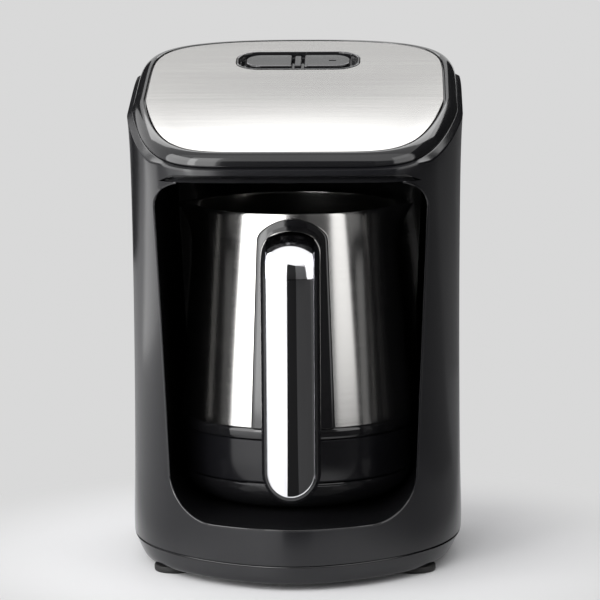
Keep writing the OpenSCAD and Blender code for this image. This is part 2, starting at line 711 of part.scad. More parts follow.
strip_arch = 20;                     // radius of the strip's arched top
strip_top = 163.3;
module handle_strip() color(black_gloss) intersection() {
    difference() {
        strip_cone(strip_t);
        strip_cone(0.1);
        bracket(0.2);
    }
    along_y(-80, 0) intersection() {
        polygon([[-19.2, strip_low], [19.2, strip_low], [16.2, strip_top], [-16.2, strip_top]]);
        translate([0, strip_top - strip_arch]) union() {
            circle(strip_arch, $fn = fine);
            translate([-30, strip_low - strip_top]) square([60, strip_top - strip_low]);
        }
    }
}

module foot_front_left() foot(0);
module foot_front_right() foot(1);
module foot_rear_left() foot(2);
module foot_rear_right() foot(3);

base_plate();
front_shell();
rear_cover();
niche_liner();
pedestal();
top_cover();
top_plate();
button_bezel();
control_board();
switch_left();
switch_right();
buzzer();
sensor_module();
sensor_window();
power_board();
relay();
transformer();
socket_block();
socket_contacts();
cord_gland();
terminal_block();
foot_front_left();
foot_front_right();
foot_rear_left();
foot_rear_right();
base_screws();
rear_screws();
board_screws();
button_left();
button_right();
plunger_left();
plunger_right();
indicator_lens();
pot_body();
pot_collar();
pot_base_cup();
pot_base_cover();
heating_element();
heat_spreader();
thermostat();
pot_plug();
plug_blades();
handle_strip();
handle_shell();
handle_chrome();
handle_bracket();
handle_screw();
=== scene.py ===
"""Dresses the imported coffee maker: smooth shells, pot, handle, finishes, light and camera."""
import json
import math

import bmesh
import bpy
from mathutils import Matrix, Vector


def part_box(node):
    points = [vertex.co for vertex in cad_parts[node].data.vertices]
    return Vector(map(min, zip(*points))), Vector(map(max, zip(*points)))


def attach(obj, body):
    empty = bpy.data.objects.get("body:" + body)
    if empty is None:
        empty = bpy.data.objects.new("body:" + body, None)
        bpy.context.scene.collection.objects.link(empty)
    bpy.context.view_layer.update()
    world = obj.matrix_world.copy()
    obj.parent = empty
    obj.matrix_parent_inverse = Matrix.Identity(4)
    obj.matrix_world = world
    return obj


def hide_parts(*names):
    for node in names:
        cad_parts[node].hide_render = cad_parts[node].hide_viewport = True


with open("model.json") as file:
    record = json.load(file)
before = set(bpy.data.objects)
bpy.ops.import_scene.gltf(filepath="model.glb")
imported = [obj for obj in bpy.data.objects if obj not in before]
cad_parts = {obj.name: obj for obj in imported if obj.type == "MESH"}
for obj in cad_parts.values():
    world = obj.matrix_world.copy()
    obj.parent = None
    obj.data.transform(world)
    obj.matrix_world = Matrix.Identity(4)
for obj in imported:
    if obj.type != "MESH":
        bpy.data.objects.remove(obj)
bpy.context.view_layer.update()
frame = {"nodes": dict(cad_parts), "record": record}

bl_info = {
    "name": "Coffee Maker Dresser",
    "version": (1, 0, 0),
    "blender": (4, 5, 0),
    "location": "View3D > Sidebar > Coffee",
    "description": "Builds the visible pieces of a Turkish coffee maker round its solid model",
    "category": "Object",
}

NODES = frame["nodes"]
MM = 0.001                # modelling is in millimetres, meshes are in metres
TURN = 2 * math.pi
QUARTER = math.pi / 2


# -------------------- settings

def length(name, text, default_mm):
    """A size property that is given in millimetres and kept in metres."""
    return bpy.props.FloatProperty(name=name, description=text, default=default_mm * MM,
                                   min=0.0, precision=5, unit="LENGTH")


def colour(name, text, default):
    return bpy.props.FloatVectorProperty(name=name, description=text, default=default,
                                         min=0.0, max=1.0, size=3, subtype="COLOR")


class CoffeeHousing(bpy.types.PropertyGroup):
    body_w: length("Width", "Width of the housing at its widest", 154.4)
    body_d: length("Depth", "Depth from the nose to the back", 176)
    front_h: length("Front height", "Height of the steel plate's front edge", 196.2)
    seam_h: length("Seam height", "Height of the seam above the base", 11)
    wall: length("Wall", "Wall of the shells", 2.4)
    step_y: length("Step", "Place of the step between the shells", 51)
    slope: bpy.props.FloatProperty(name="Top slope", description="Slope of the top",
                                   default=math.radians(14.2), subtype="ANGLE")


class CoffeeNiche(bpy.types.PropertyGroup):
    top: length("Half width at the top", "Half width of the opening near its top", 61.4)
    foot: length("Half width at the foot", "Half width of the opening near its floor", 56.4)
    floor: length("Floor", "Height of the niche floor", 27.6)
    ceiling: length("Ceiling", "Height of the niche ceiling", 183.3)
    back: length("Back wall", "Place of the niche's back wall", 61)
    landing: length("Landing", "Height of the pedestal's edge", 42)


class CoffeePot(bpy.types.PropertyGroup):
    mouth_r: length("Mouth radius", "Outer radius at the rim", 47)
    foot_r: length("Foot radius", "Outer radius at the foot", 54)
    rim: length("Rim height", "Height of the rim", 165.6)
    steel: length("Steel height", "Height where the steel meets the collar", 68)
    sheet: length("Sheet", "Thickness of the steel", 1.2)
    underside: length("Underside", "Height of the pot's underside", 42.4)
    lip: length("Lip", "How far each pouring lip stands out", 8.6)


class CoffeeHandle(bpy.types.PropertyGroup):
    grip_w: length("Grip width", "Width of the grip", 26.6)
    chrome_w: length("Chrome width", "Width of the chrome insert", 21.6)
    low: length("Lower end", "Height of the grip's lower end", 39.5)
    chrome_low: length("Chrome end", "Height of the chrome insert's lower end", 42.7)
    top: length("Top", "Height of the arm's top", 160.6)
    depth: length("Grip depth", "Depth of the grip", 11)
    bend_r: length("Bend", "Outer radius of the bend", 20)
    crown_r: length("Crown", "Radius across the front of the grip", 20)
    strip_low: length("Strip end", "Height of the backing strip's lower end", 68.4)
    strip_top: length("Strip top", "Height of the backing strip's arched top", 163.3)
    strip_arch: length("Strip arch", "Radius of the backing strip's arched top", 20.5)


class CoffeePanel(bpy.types.PropertyGroup):
    along: length("Place", "Middle of the bezel up the slope", 129.7)
    bezel_w: length("Bezel width", "Width of the bezel", 59.2)
    bezel_d: length("Bezel depth", "Depth of the bezel", 26.8)
    bezel_r: length("Bezel corner", "Corner radius of the bezel", 11)
    button_w: length("Button width", "Width of one button", 21.7)
    button_d: length("Button depth", "Depth of one button", 17)
    button_x: length("Button place", "Middle of each button from the centre", 13.9)
    window_x: length("Window place", "Middle of the lit window from the centre", 16.5)


class CoffeeColours(bpy.types.PropertyGroup):
    satin: colour("Satin black", "Moulded satin housing", (0.0085, 0.0085, 0.0100))
    gloss: colour("Gloss black", "Moulded gloss parts", (0.010, 0.010, 0.011))
    steel: colour("Steel", "Brushed steel of plate and pot", (0.62, 0.61, 0.595))
    chrome: colour("Chrome", "Plated insert of the handle", (0.86, 0.86, 0.88))
    floor: colour("Floor", "Pale floor", (0.84, 0.84, 0.845))
    backdrop: colour("Backdrop", "Backdrop behind the object", (0.693, 0.693, 0.693))


SETTINGS = {
    "coffee_housing": CoffeeHousing, "coffee_niche": CoffeeNiche, "coffee_pot": CoffeePot,
    "coffee_handle": CoffeeHandle, "coffee_panel": CoffeePanel, "coffee_colours": CoffeeColours,
}


class Mm:
    """Reads a group of lengths in millimetres."""

    def __init__(self, group):
        self._group = group

    def __getattr__(self, name):
        return getattr(self._group, name) / MM


# -------------------- outlines

OUTLINE_STEPS = 60        # points in a quarter of the housing's outline
WIDE_Y = 7                # the housing's widest line, behind the middle
LAP = 2.6                 # the rear cover lies this much further in
# powers of the outline, front then rear, and the rounding where its halves meet
NOSE_POW = (1.2, 0.9, 0.5, 0.5, 0)           # at the seam
BROW_POW = (0.335, 1.15, 0.5, 0.5, 0)        # what the walls tend to going up
TOP_POW = (0.293, 2.04, 0.807, 0.287, 5)     # the sloping top
WAIST = 0.7               # the sides draw in half way up
HEM, HEM_LOW, HEM_POW = 0.5, 5.5, 12         # the sides draw in at the seam and the table
HEM_SHARE = 0.08          # of the walls' height
BASE_LOW = 3              # height of the base's underside
NOSE_EDGE = 0.7           # the shell's nose stands back from the base's
PLATE_Y = -77.5           # front edge of the steel plate
PLATE_A, PLATE_F, PLATE_R, PLATE_YC = 69.1, 73.2, 85.9, 74.4   # half width, reaches, widest
RIM_W, RIM_DROP = 6.3, 5.2                   # rim round the plate, and its groove's depth
BROW, CROWN = 91.3, 80.4  # reaches that the walls tend to going up
FLARE_POW = 12            # near their top they take the outline of the top
FLARE_A, FLARE_Y, FLARE_F, FLARE_R = 0.7, -10.5, -11.15, 10.7
BEVEL_W, GROOVE_DROP, SHOULDER_DROP = 2.4, 5.5, 7.6   # the brim's bevel, under the plate
FADE_FROM, FADE_TO, FADE_RISE = -64, -76, 1.9    # the shoulder rises at the front


def mix(a, b, u):
    return a + (b - a) * u


def eased(u):
    return u * u * (3 - 2 * u)


def signed_pow(value, power):
    return math.copysign(abs(value) ** power, value)


def steps(a, b, count, skip=1):
    """Values in equal steps from a to b; skip leaves out so many at the start."""
    return [mix(a, b, k / count) for k in range(skip, count + 1)]


def arc(x, y, radius, start, end, count, skip=0):
    """Points of an arc round (x, y) between two angles."""
    return [(x + radius * math.cos(a), y + radius * math.sin(a))
            for a in steps(start, end, count, skip)]


def bisect(high, too_low):
    """The border of too_low between 0 and high."""
    low = 0.0
    for _ in range(40):
        middle = (low + high) / 2
        low, high = (middle, high) if too_low(middle) else (low, middle)
    return low


def outline_turns():
    """The angles of an outline, closer together where it turns or starts steeply."""
    shares = steps(0, 1, OUTLINE_STEPS, 0)[:-1]
    rear = [QUARTER * (start + eased(s)) for start in (0, 1) for s in shares]
    left = [math.pi + QUARTER * (1 - (1 - s) ** 1.8) for s in shares]
    right = [1.5 * math.pi + QUARTER * s ** 1.8 for s in shares]
    return rear + left + right


TURNS = outline_turns()


def reach_ahead(front, power, s):
    """How far the outline lies ahead of its widest line at the sine s."""
    rounding = power[4]
    v = (math.hypot(front, rounding) - rounding) * s ** power[1]
    return math.sqrt(v * v + 2 * rounding * v)


def outline(a, front, rear, power, centre=WIDE_Y):
    """The housing's plan: half width a, its reaches to the front and the rear."""
    points = []
    soft = 0.4 * max(0.0, power[0] - 1)       # keeps the tip of the nose round
    for t in TURNS:
        c, s = math.cos(t), math.sin(t)
        if abs(c) < 1e-9:
            c = 0.0
        if s < -1e-9:
            points.append((a * c * (c * c + soft) ** ((power[0] - 1) / 2) if c else 0.0,
                           centre - reach_ahead(front, power, -s)))
        else:
            points.append((a * signed_pow(c, power[2]), centre + rear * max(s, 0.0) ** power[3]))
    return points


def tucked(x, y, a, tuck):
    """A point of an outline of half width a whose sides draw in."""
    return x - math.copysign(tuck * (abs(x) / a) ** HEM_POW, x), y


class Housing:
    """The housing's surfaces as functions, in millimetres."""

    def __init__(self, scene):
        self.h = Mm(scene.coffee_housing)
        self.n = Mm(scene.coffee_niche)
        self.slope = scene.coffee_housing.slope
        self.nose = self.h.body_d / 2 + WIDE_Y
        self.back = self.h.body_d / 2 - WIDE_Y

    def plane_z(self, y, drop):
        return self.h.front_h - drop / math.cos(self.slope) + (y - PLATE_Y) * math.tan(self.slope)

    def wall_shape(self, u, inset):
        """Half width, reaches, powers and widest line at the share u of the height."""
        w = u ** FLARE_POW
        a = self.h.body_w / 2 + FLARE_A * w - WAIST * math.sin(math.pi * u) - inset
        front = mix(self.nose - NOSE_EDGE, BROW, u) + FLARE_F * w - inset
        rear = mix(self.back + LAP, CROWN, u) + FLARE_R * w - inset
        power = tuple(mix(mix(n, b, u), t, w) for n, b, t in zip(NOSE_POW, BROW_POW, TOP_POW))
        return a, front, rear, power, WIDE_Y + FLARE_Y * w

    def wall_z(self, y, drop, u):
        return mix(self.h.seam_h, self.plane_z(y, drop), u)

    def wall_ring(self, u, inset, drop, rise=0.0):
        tuck = HEM * max(0.0, 1 - u / HEM_SHARE) ** 2
        shape = self.wall_shape(u, inset)
        ring = []
        for x, y in outline(*shape):
            faded = eased(min(1.0, max(0.0, (y - FADE_FROM) / (FADE_TO - FADE_FROM))))
            ring.append((*tucked(x, y, shape[0], tuck), self.wall_z(y, drop - rise * faded, u)))
        return ring

    def base_ring(self, z, inset):
        u = (self.h.seam_h - z) / (self.h.seam_h - BASE_LOW)
        a = self.h.body_w / 2 - inset
        points = outline(a, self.nose - inset, self.back - inset - 3 * u, NOSE_POW)
        return [(*tucked(x, y, a, mix(HEM, HEM_LOW, max(0.0, u))), z) for x, y in points]

    def top_outline(self, grow):
        return outline(PLATE_A + grow, PLATE_F + grow, PLATE_R + grow, TOP_POW, PLATE_YC)

    def on_top(self, x, y, z):
        """A point of the sloping top's own frame, y up the slope and z off the plate."""
        c, s = math.cos(self.slope), math.sin(self.slope)
        return (x, PLATE_Y + y * c - z * s, self.h.front_h + y * s + z * c)

    def top_ring(self, grow, off):
        return [self.on_top(x, y, off) for x, y in self.top_outline(grow)]

    def front_y(self, x, z):
        """Place of the front shell's outer surface at x across and z up."""
        def y_at(u):
            a, front, _, power, centre = self.wall_shape(u, 0)
            c = min(1.0, (abs(x) / a) ** (1 / power[0]))
            return centre - reach_ahead(front, power, math.sqrt(1 - c * c))

        top_drop = SHOULDER_DROP - FADE_RISE
        return y_at(bisect(1.0, lambda u: self.wall_z(y_at(u), top_drop, u) < z))

    def niche_points(self, grow=0.0):
        """Front view of the opening, from the middle of its top round to the right."""
        top_r, foot_r, arc_steps, side_steps, level_steps = 13, 21, 36, 24, 9
        tx, tz = self.n.top - top_r, self.n.ceiling - top_r
        fx, fz = self.n.foot - foot_r, self.n.floor + foot_r
        # both arcs end where the straight side touches them
        gap = math.hypot(tx - fx, tz - fz)
        side = math.asin((foot_r - top_r) / gap) - math.atan2(tx - fx, tz - fz)
        upper = arc(tx, tz, top_r + grow, QUARTER, side, arc_steps)
        lower = arc(fx, fz, foot_r + grow, side, -QUARTER, arc_steps)
        (x0, z0), (x1, z1) = upper[-1], lower[0]
        right = [(x, self.n.ceiling + grow) for x in steps(0, tx, level_steps, 0)[:-1]] + upper
        right += zip(steps(x0, x1, side_steps)[:-1], steps(z0, z1, side_steps)[:-1])
        right += lower + [(x, self.n.floor - grow) for x in steps(fx, 0, level_steps)]
        return right + [(-x, z) for x, z in right[-2:0:-1]]


# -------------------- modelling

def clear_selection():
    if bpy.context.object and bpy.context.object.mode != "OBJECT":
        bpy.ops.object.mode_set(mode="OBJECT")
    bpy.ops.object.select_all(action="DESELECT")


def pick(obj, *others):
    """Selects these objects alone; the first is the active one."""
    clear_selection()
    for each in (*others, obj):
        each.select_set(True)
    bpy.context.view_layer.objects.active = obj


def loft(name, rings, loop=False, caps=True):
    """A skin over rings of points: a circle is extruded ring by ring and shaped as it goes."""
    clear_selection()
    count, last = len(rings[0]), len(rings) - 1
    bpy.ops.mesh.primitive_circle_add(vertices=count, radius=MM, location=(0, 0, 0))
    obj = bpy.context.object
    obj.name = obj.data.name = name
    keys = ("place", "level")                # number in the ring, and number of the ring
    for key in keys:
        obj.data.attributes.new(key, "INT", "POINT")
    obj.data.attributes["place"].data.foreach_set("value", list(range(count)))
    bpy.ops.object.mode_set(mode="EDIT")
    for k, ring in enumerate(rings):
        if k:
            bpy.ops.mesh.extrude_region_move(TRANSFORM_OT_translate={"value": (0, 0, MM)})
        mesh = bmesh.from_edit_mesh(obj.data)
        place, level = (mesh.verts.layers.int[key] for key in keys)
        for vert in mesh.verts:
            if vert.select:
                vert[level] = k
                vert.co = Vector(ring[vert[place]]) * MM
        bmesh.update_edit_mesh(obj.data)
    ends = {(v[level], v[place]): v for v in mesh.verts if v[level] in (0, last)}
    if loop:
        for i in range(count):
            j = (i + 1) % count
            mesh.faces.new((ends[last, i], ends[last, j], ends[0, j], ends[0, i]))
    elif caps:
        for k in (0, last):
            mesh.faces.new([ends[k, i] for i in range(count)])
    bmesh.update_edit_mesh(obj.data)
    bpy.ops.mesh.select_all(action="SELECT")
    bpy.ops.mesh.remove_doubles(threshold=1e-6)
    bpy.ops.mesh.normals_make_consistent(inside=False)
    bpy.ops.object.mode_set(mode="OBJECT")
    for key in keys:
        obj.data.attributes.remove(obj.data.attributes[key])
    return obj


def lathe(name, profile, count=160, warp=lambda a, radius, z: 0.0):
    """Rings round the Z axis through (radius, height) points."""
    rings = []
    for radius, z in profile:
        ring = []
        for a in steps(0, TURN, count, 0)[:-1]:
            r = radius + warp(a, radius, z)
            ring.append((r * math.cos(a), r * math.sin(a), z))
        rings.append(ring)
    return loft(name, rings, caps=False)


def prism(name, points, low, high):
    """A bar along Y with the front view given by (x, z) points."""
    return loft(name, [[(x, y, z) for x, z in points] for y in (low, high)])


def apply_place(obj, name):
    obj.name = obj.data.name = name
    pick(obj)
    bpy.ops.object.transform_apply(location=True, rotation=True, scale=True)
    return obj


def block(name, low, high):
    """A box between two corners."""
    clear_selection()
    bpy.ops.mesh.primitive_cube_add(size=1, location=[(a + b) / 2 * MM for a, b in zip(low, high)],
                                    scale=[(b - a) * MM for a, b in zip(low, high)])
    return apply_place(bpy.context.object, name)


def bar(name, start, end, radius):
    """A round bar between two points."""
    clear_selection()
    a, b = Vector(start) * MM, Vector(end) * MM
    bpy.ops.mesh.primitive_cylinder_add(vertices=48, radius=radius * MM,
                                        depth=(b - a).length, location=(a + b) / 2)
    bpy.context.object.rotation_euler = (b - a).to_track_quat("Z", "Y").to_euler()
    return apply_place(bpy.context.object, name)


def bead(name, path, radius):
    """A thin round bead along an open path of (x, y, z) points."""
    rings = []
    for i, place in enumerate(path):
        before, after = path[max(i - 1, 0)], path[min(i + 1, len(path) - 1)]
        along = (Vector(after) - Vector(before)).normalized()
        side = along.cross(Vector((0, 1, 0))).normalized()
        up = side.cross(along)
        rings.append([Vector(place) + side * x + up * z
                      for x, z in arc(0, 0, radius, 0, TURN, 10)[:-1]])
    return loft(name, rings)


def join(obj, *others):
    pick(obj, *others)
    bpy.ops.object.join()
    return obj


def cut(obj, *cutters, keep=False):
    """Cuts the cutters' shapes out of obj, or keeps only what lies in them."""
    for cutter in cutters:
        before = len(obj.data.vertices)
        pick(obj)
        modifier = obj.modifiers.new("cut", "BOOLEAN")
        modifier.object, modifier.solver = cutter, "EXACT"
        modifier.operation = "INTERSECT" if keep else "DIFFERENCE"
        bpy.ops.object.modifier_apply(modifier=modifier.name)
        bpy.data.objects.remove(cutter)
        if len(obj.data.vertices) in (0, before):
            raise RuntimeError(f"a cut left {obj.name} empty or as it was")
    return obj


def finish(obj, slot):
    obj.data.materials.clear()
    obj.data.materials.append(FINISHES[slot])


def done(obj, body, slot, *nodes, angle=35):
    """Shades a piece, gives it its finish and says what it rides on and stands for."""
    pick(obj)
    bpy.ops.object.shade_smooth_by_angle(angle=math.radians(angle))
    finish(obj, slot)
    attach(obj, body)
    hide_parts(*nodes)


# -------------------- finishes

class Socket:
    """A shader value that can be used in sums."""

    def __init__(self, graph, socket):
        self.graph, self.socket = graph, socket

    def _math(self, operation, a, b):
        return self.graph.node("ShaderNodeMath", {"operation": operation}, {0: a, 1: b})

    def __add__(self, other):
        return self._math("ADD", self, other)

    def __radd__(self, other):
        return self._math("ADD", other, self)

    def __sub__(self, other):
        return self._math("SUBTRACT", self, other)

    def __rsub__(self, other):
        return self._math("SUBTRACT", other, self)

    def __mul__(self, other):
        return self._math("MULTIPLY", self, other)

    def __rmul__(self, other):
        return self._math("MULTIPLY", other, self)


class Graph:
    """A node tree whose nodes are made by one method."""

    def __init__(self, tree):
        self.tree = tree

    def node(self, kind, settings, inputs, output=0):
        made = self.tree.nodes.new(kind)
        for key, value in settings.items():
            setattr(made, key, value)
        for key, value in inputs.items():
            self.feed(made.inputs[key], value)
        return Socket(self, made.outputs[output]) if made.outputs else None

    def feed(self, target, value):
        if isinstance(value, Socket):
            self.tree.links.new(value.socket, target)
        else:
            target.default_value = value

    def ramp(self, value, start, end, top=1.0):
        """A smooth rise from 0 at the start to the top at the end."""
        return self.node("ShaderNodeMapRange", {"interpolation_type": "SMOOTHSTEP"},
                         {"Value": value, "From Min": start, "From Max": end, "To Max": top})

    def ray(self, kind):
        """1 for rays of this kind, or else 0."""
        return self.node("ShaderNodeLightPath", {}, {}, kind)


class Look(Graph):
    """A material with a Principled shader and the nodes that feed it."""

    def __init__(self, name):
        self.material = bpy.data.materials.new(name)
        self.material.use_nodes = True
        super().__init__(self.material.node_tree)
        self.shader = self.tree.nodes["Principled BSDF"]
        self.place = self.node("ShaderNodeTexCoord", {}, {}, "Object")

    def set(self, **values):
        for key, value in values.items():
            name = key.replace("_", " ").title().replace("Ior", "IOR")
            self.feed(self.shader.inputs[name], value)

    def noise(self, scale, detail=2.0, stretch=(1, 1, 1), rough=0.5):
        """A noise from 0 to 1, at so many waves a metre, stretched along the axes."""
        place = self.node("ShaderNodeMapping", {}, {"Vector": self.place, "Scale": stretch})
        return self.node("ShaderNodeTexNoise", {}, {"Vector": place, "Scale": scale,
                                                    "Detail": detail, "Roughness": rough})

    def shade(self, factor, dark, light):
        return self.node("ShaderNodeMix", {"data_type": "RGBA"},
                         {0: factor, 6: (*dark, 1), 7: (*light, 1)}, 2)

    def glow_by(self, factor, tone):
        """Turns into a plain glow where the factor is 1."""
        glow = self.node("ShaderNodeEmission", {}, {"Color": (*tone, 1)})
        dull = Socket(self, self.shader.outputs[0])
        blend = self.node("ShaderNodeMixShader", {}, {0: factor, 1: dull, 2: glow})
        self.feed(self.tree.nodes["Material Output"].inputs["Surface"], blend)

    def bump(self, height, distance_mm, strength=1.0):
        normal = self.node("ShaderNodeBump", {}, {"Height": height, "Strength": strength,
                                                  "Distance": distance_mm * MM})
        self.set(normal=normal)


def spread(tone, low, high):
    """Two shares of a tone, for a colour that varies between them."""
    return [[min(1.0, v * share) for v in tone] for share in (low, high)]


def varied(name, pattern, shades, roughness, uneven=0.0, relief=0.0, **values):
    """A finish whose colour, roughness and relief in millimetres follow one noise."""
    look = Look(name)
    noise = look.noise(*pattern)
    look.set(base_color=look.shade(noise, *shades),
             roughness=roughness + noise * uneven if uneven else roughness, **values)
    if relief:
        look.bump(noise, relief)
    return look


def satin_black(tone):
    """Smooth moulding with a faint grain and cloudiness."""
    look = varied("satin black moulding", (18, 3), spread(tone, 0.93, 1.07), 0.15, 0.05)
    look.bump(look.noise(1800, 2), 0.002)
    return look


def gloss_black(name, tone, roughness):
    """Polished moulding with light wiping marks."""
    look = varied(name, (35, 4, (1, 1, 3)), spread(tone, 0.9, 1.15), roughness, 0.05,
                  coat_weight=0.35, coat_roughness=0.04)
    look.bump(look.noise(55, 2), 0.003, 0.5)
    return look


def brushed_steel(name, tone, fine, medium, change, roughness, relief):
    """Brushed steel: fine and medium streaks, each at so many waves a metre along the axes."""
    look = Look(name)
    streak = look.noise(1.0, 3, fine)
    broad = look.noise(1.0, 4, medium, 0.65)
    smooth, streaked, uneven = roughness
    look.set(base_color=look.shade(streak * 0.4 + broad * 0.6,
                                   *spread(tone, 1 - change, 1 + change)),
             metallic=1.0, roughness=smooth + streak * streaked + broad * uneven)
    look.bump(streak, relief)
    return look


def plain_metal(name, tone, roughness):
    return varied(name, (700, 3), spread(tone, 0.85, 1.1), roughness, 0.12, 0.01, metallic=1.0)


def plain_plastic(name, tone, roughness):
    return varied(name, (900, 3), spread(tone, 0.9, 1.1), roughness, 0.1, 0.01)


def circuit_board():
    """Green lacquer with a faint weave of glass cloth and paler tracks."""
    look = Look("circuit board")
    weave = look.noise(1.0, 1, (1800, 1800, 1800))
    tracks = look.node("ShaderNodeTexBrick", {},
                       {"Vector": look.place, "Scale": 160.0, "Mortar Size": 0.03}, "Fac")
    green = look.shade(tracks * 0.5 + weave * 0.3, (0.01, 0.09, 0.04), (0.05, 0.24, 0.1))
    look.set(base_color=green, roughness=0.35 + weave * 0.15)
    look.bump(weave, 0.01)
    return look


def lit_window():
    look = varied("lit window", (600, 1), [(0.8,) * 3, (0.95,) * 3], 0.3, emission_strength=0.8)
    look.set(emission_color=look.shade(look.noise(600, 1), (0.85, 0.87, 0.9), (1, 1, 1)))
    return look


FINISHES = {}


def make_finishes(tones):
    """One material for each of the record's slots."""
    looks = {
        "satin_black": satin_black(tones.satin),
        "gloss_black": gloss_black("gloss black moulding", tones.gloss, 0.07),
        # brushed from side to side
        "brushed_plate": brushed_steel("brushed steel plate", tones.steel, (22, 5200, 2400),
                                       (8, 620, 620), 0.12, (0.08, 0.03, 0.05), 0.0006),
        # brushed round the pot, so that the streaks run level
        "brushed_pot": brushed_steel("brushed steel pot", tones.steel, (20, 20, 5200),
                                     (9, 9, 620), 0.16, (0.12, 0.04, 0.08), 0.001),
        "chrome_trim": varied("chrome plating", (40, 3), spread(tones.chrome, 0.97, 1.0),
                              0.02, 0.025, metallic=1.0),
        "foot_rubber": varied("black rubber", (1500, 3), [(0.007,) * 3, (0.015, 0.0145, 0.014)],
                              0.5, 0.2, 0.02, specular_ior_level=0.3),
        "screw_steel": plain_metal("zinc plated steel", (0.55, 0.55, 0.56), 0.3),
        "contact_brass": plain_metal("brass", (0.72, 0.52, 0.22), 0.25),
        "spreader_aluminium": plain_metal("aluminium", (0.7, 0.7, 0.72), 0.35),
        "heater_sheath": plain_metal("oxidised sheath", (0.2, 0.19, 0.18), 0.45),
        "circuit_board": circuit_board(),
        "component_dark": plain_plastic("component black", (0.02, 0.02, 0.02), 0.4),
        "relay_blue": plain_plastic("relay blue", (0.03, 0.08, 0.35), 0.4),
        "transformer_yellow": plain_plastic("transformer tape", (0.55, 0.42, 0.06), 0.45),
        "terminal_white": plain_plastic("terminal nylon", (0.75, 0.75, 0.72), 0.4),
        "ceramic": plain_plastic("ceramic", (0.8, 0.78, 0.72), 0.6),
        "sensor_red": gloss_black("dark red window", (0.03, 0.003, 0.004), 0.05),
        "lens_white": lit_window(),
    }
    FINISHES.update({slot: look.material for slot, look in looks.items()})


# -------------------- shells

FAR = 150                 # well outside the object
HOOD_END = 58.5           # half length of the bevel over the opening
HOOD_H, HOOD_FADE = 3.4, 7                   # its height, and the length of its ends
HOOD_OPEN = 49.8          # up to here its cut goes down into the opening
HOOD_XS = [0, 10, 20, 28, 35, 40, 44, 47, 49.5, 50, 51.5, 52.5, 54, 55.5, 57, HOOD_END]


def hood(name, house, section):
    """A bar along the bevel; section gives its points behind the front at each station."""
    z = house.n.ceiling
    rings = []
    for x in [-x for x in HOOD_XS[:0:-1]] + HOOD_XS:
        reach = min(1.0, (HOOD_END - abs(x)) / HOOD_FADE)
        front, top = house.front_y(x, z + HOOD_H), mix(z + 0.05, z + HOOD_H, reach)
        rings.append([(x, front + behind, height) for behind, height in section(x, top, z)])
    return loft(name, rings)


def hood_cut(x, top, z):
    """What the bevel takes off the front shell."""
    low = z - 3 if abs(x) < HOOD_OPEN else z
    return [(-8, low), (-8, top), (4, top), (4, low)]


def hood_lip(x, top, z):
    """The liner's bevelled lip in that cut."""
    return [(0.2, top - 0.1), (6.2, z + 0.02), (8, z + 0.02), (8, z + 4.4), (2.6, z + 4.4),
            (2.6, top - 0.03), (0.35, top - 0.03)]


def wall_rings(house, inset, brim, rise=0.0):
    """Rings up the outside of a shell, over its brim and down the inside."""
    outer = [0.003, 0.004, 0.01, 0.02, 0.035, 0.055, 0.08]
    outer += steps(0.08, 0.8, 20) + steps(0.8, 0.995, 14)
    inner = [0.98, 0.94, 0.88, 0.8, 0.65, 0.5, 0.35, 0.2, 0.08, 0.03, 0.0]
    rings = [house.wall_ring(0.0, inset + 0.5, SHOULDER_DROP, rise)]
    rings += [house.wall_ring(u, inset, SHOULDER_DROP, rise) for u in outer]
    rings += [house.wall_ring(1, grow, drop, lift) for grow, drop, lift in brim]
    return rings + [house.wall_ring(u, inset + house.h.wall, SHOULDER_DROP) for u in inner]


class CoffeePiece:
    """What the piece operators share."""
    bl_options = {"REGISTER", "UNDO"}

    def execute(self, context):
        self.house = Housing(context.scene)
        self.build(context.scene)
        return {"FINISHED"}


class COFFEE_OT_finishes(CoffeePiece, bpy.types.Operator):
    """Make the materials"""
    bl_idname = "coffee.finishes"
    bl_label = "Finishes"

    def build(self, scene):
        make_finishes(scene.coffee_colours)


class COFFEE_OT_front_shell(CoffeePiece, bpy.types.Operator):
    """Front shell with its opening, the bevel over it and the step on the sides"""
    bl_idname = "coffee.front_shell"
    bl_label = "Front shell"

    def build(self, scene):
        house = self.house
        wide, wall = BEVEL_W, house.h.wall
        # inset, drop under the plate and rise at the front
        brim = [(0, SHOULDER_DROP, FADE_RISE), (0.05, SHOULDER_DROP - 0.16, FADE_RISE * 0.99),
                (0.22, SHOULDER_DROP - 0.37, FADE_RISE * 0.9),
                (wide - 0.3, GROOVE_DROP + 0.24, 0.08), (wide - 0.1, GROOVE_DROP + 0.04, 0),
                (wide + 0.1, GROOVE_DROP, 0), (wide + 1.8, GROOVE_DROP, 0),
                (wide + 1.8, SHOULDER_DROP + 0.1, 0), (wall, SHOULDER_DROP + 0.7, 0)]
        shell = loft("front_shell_skin", wall_rings(house, 0, brim, FADE_RISE), loop=True)
        # what lies behind the step goes, with a round corner at the top
        step, corner, low, reach = house.h.step_y, 7.0, -20, 250
        corner_z = house.plane_z(step, GROOVE_DROP) - corner * (1 + math.tan(house.slope)) + 0.6
        side = [(step, low)] + arc(step - corner, corner_z, corner, 0, QUARTER + house.slope, 16)
        y, z = side[-1]
        side += [(y - reach, z - reach * math.tan(house.slope)), (y - reach, low)]
        kept = loft("side view", [[(x, y, z) for y, z in side] for x in (-120, 120)])
        cut(shell, kept, keep=True)
        cut(shell, prism("opening", house.niche_points(), -FAR, WIDE_Y),
            hood("hood cutter", house, hood_cut))
        done(shell, "housing", "satin_black", "front_shell")


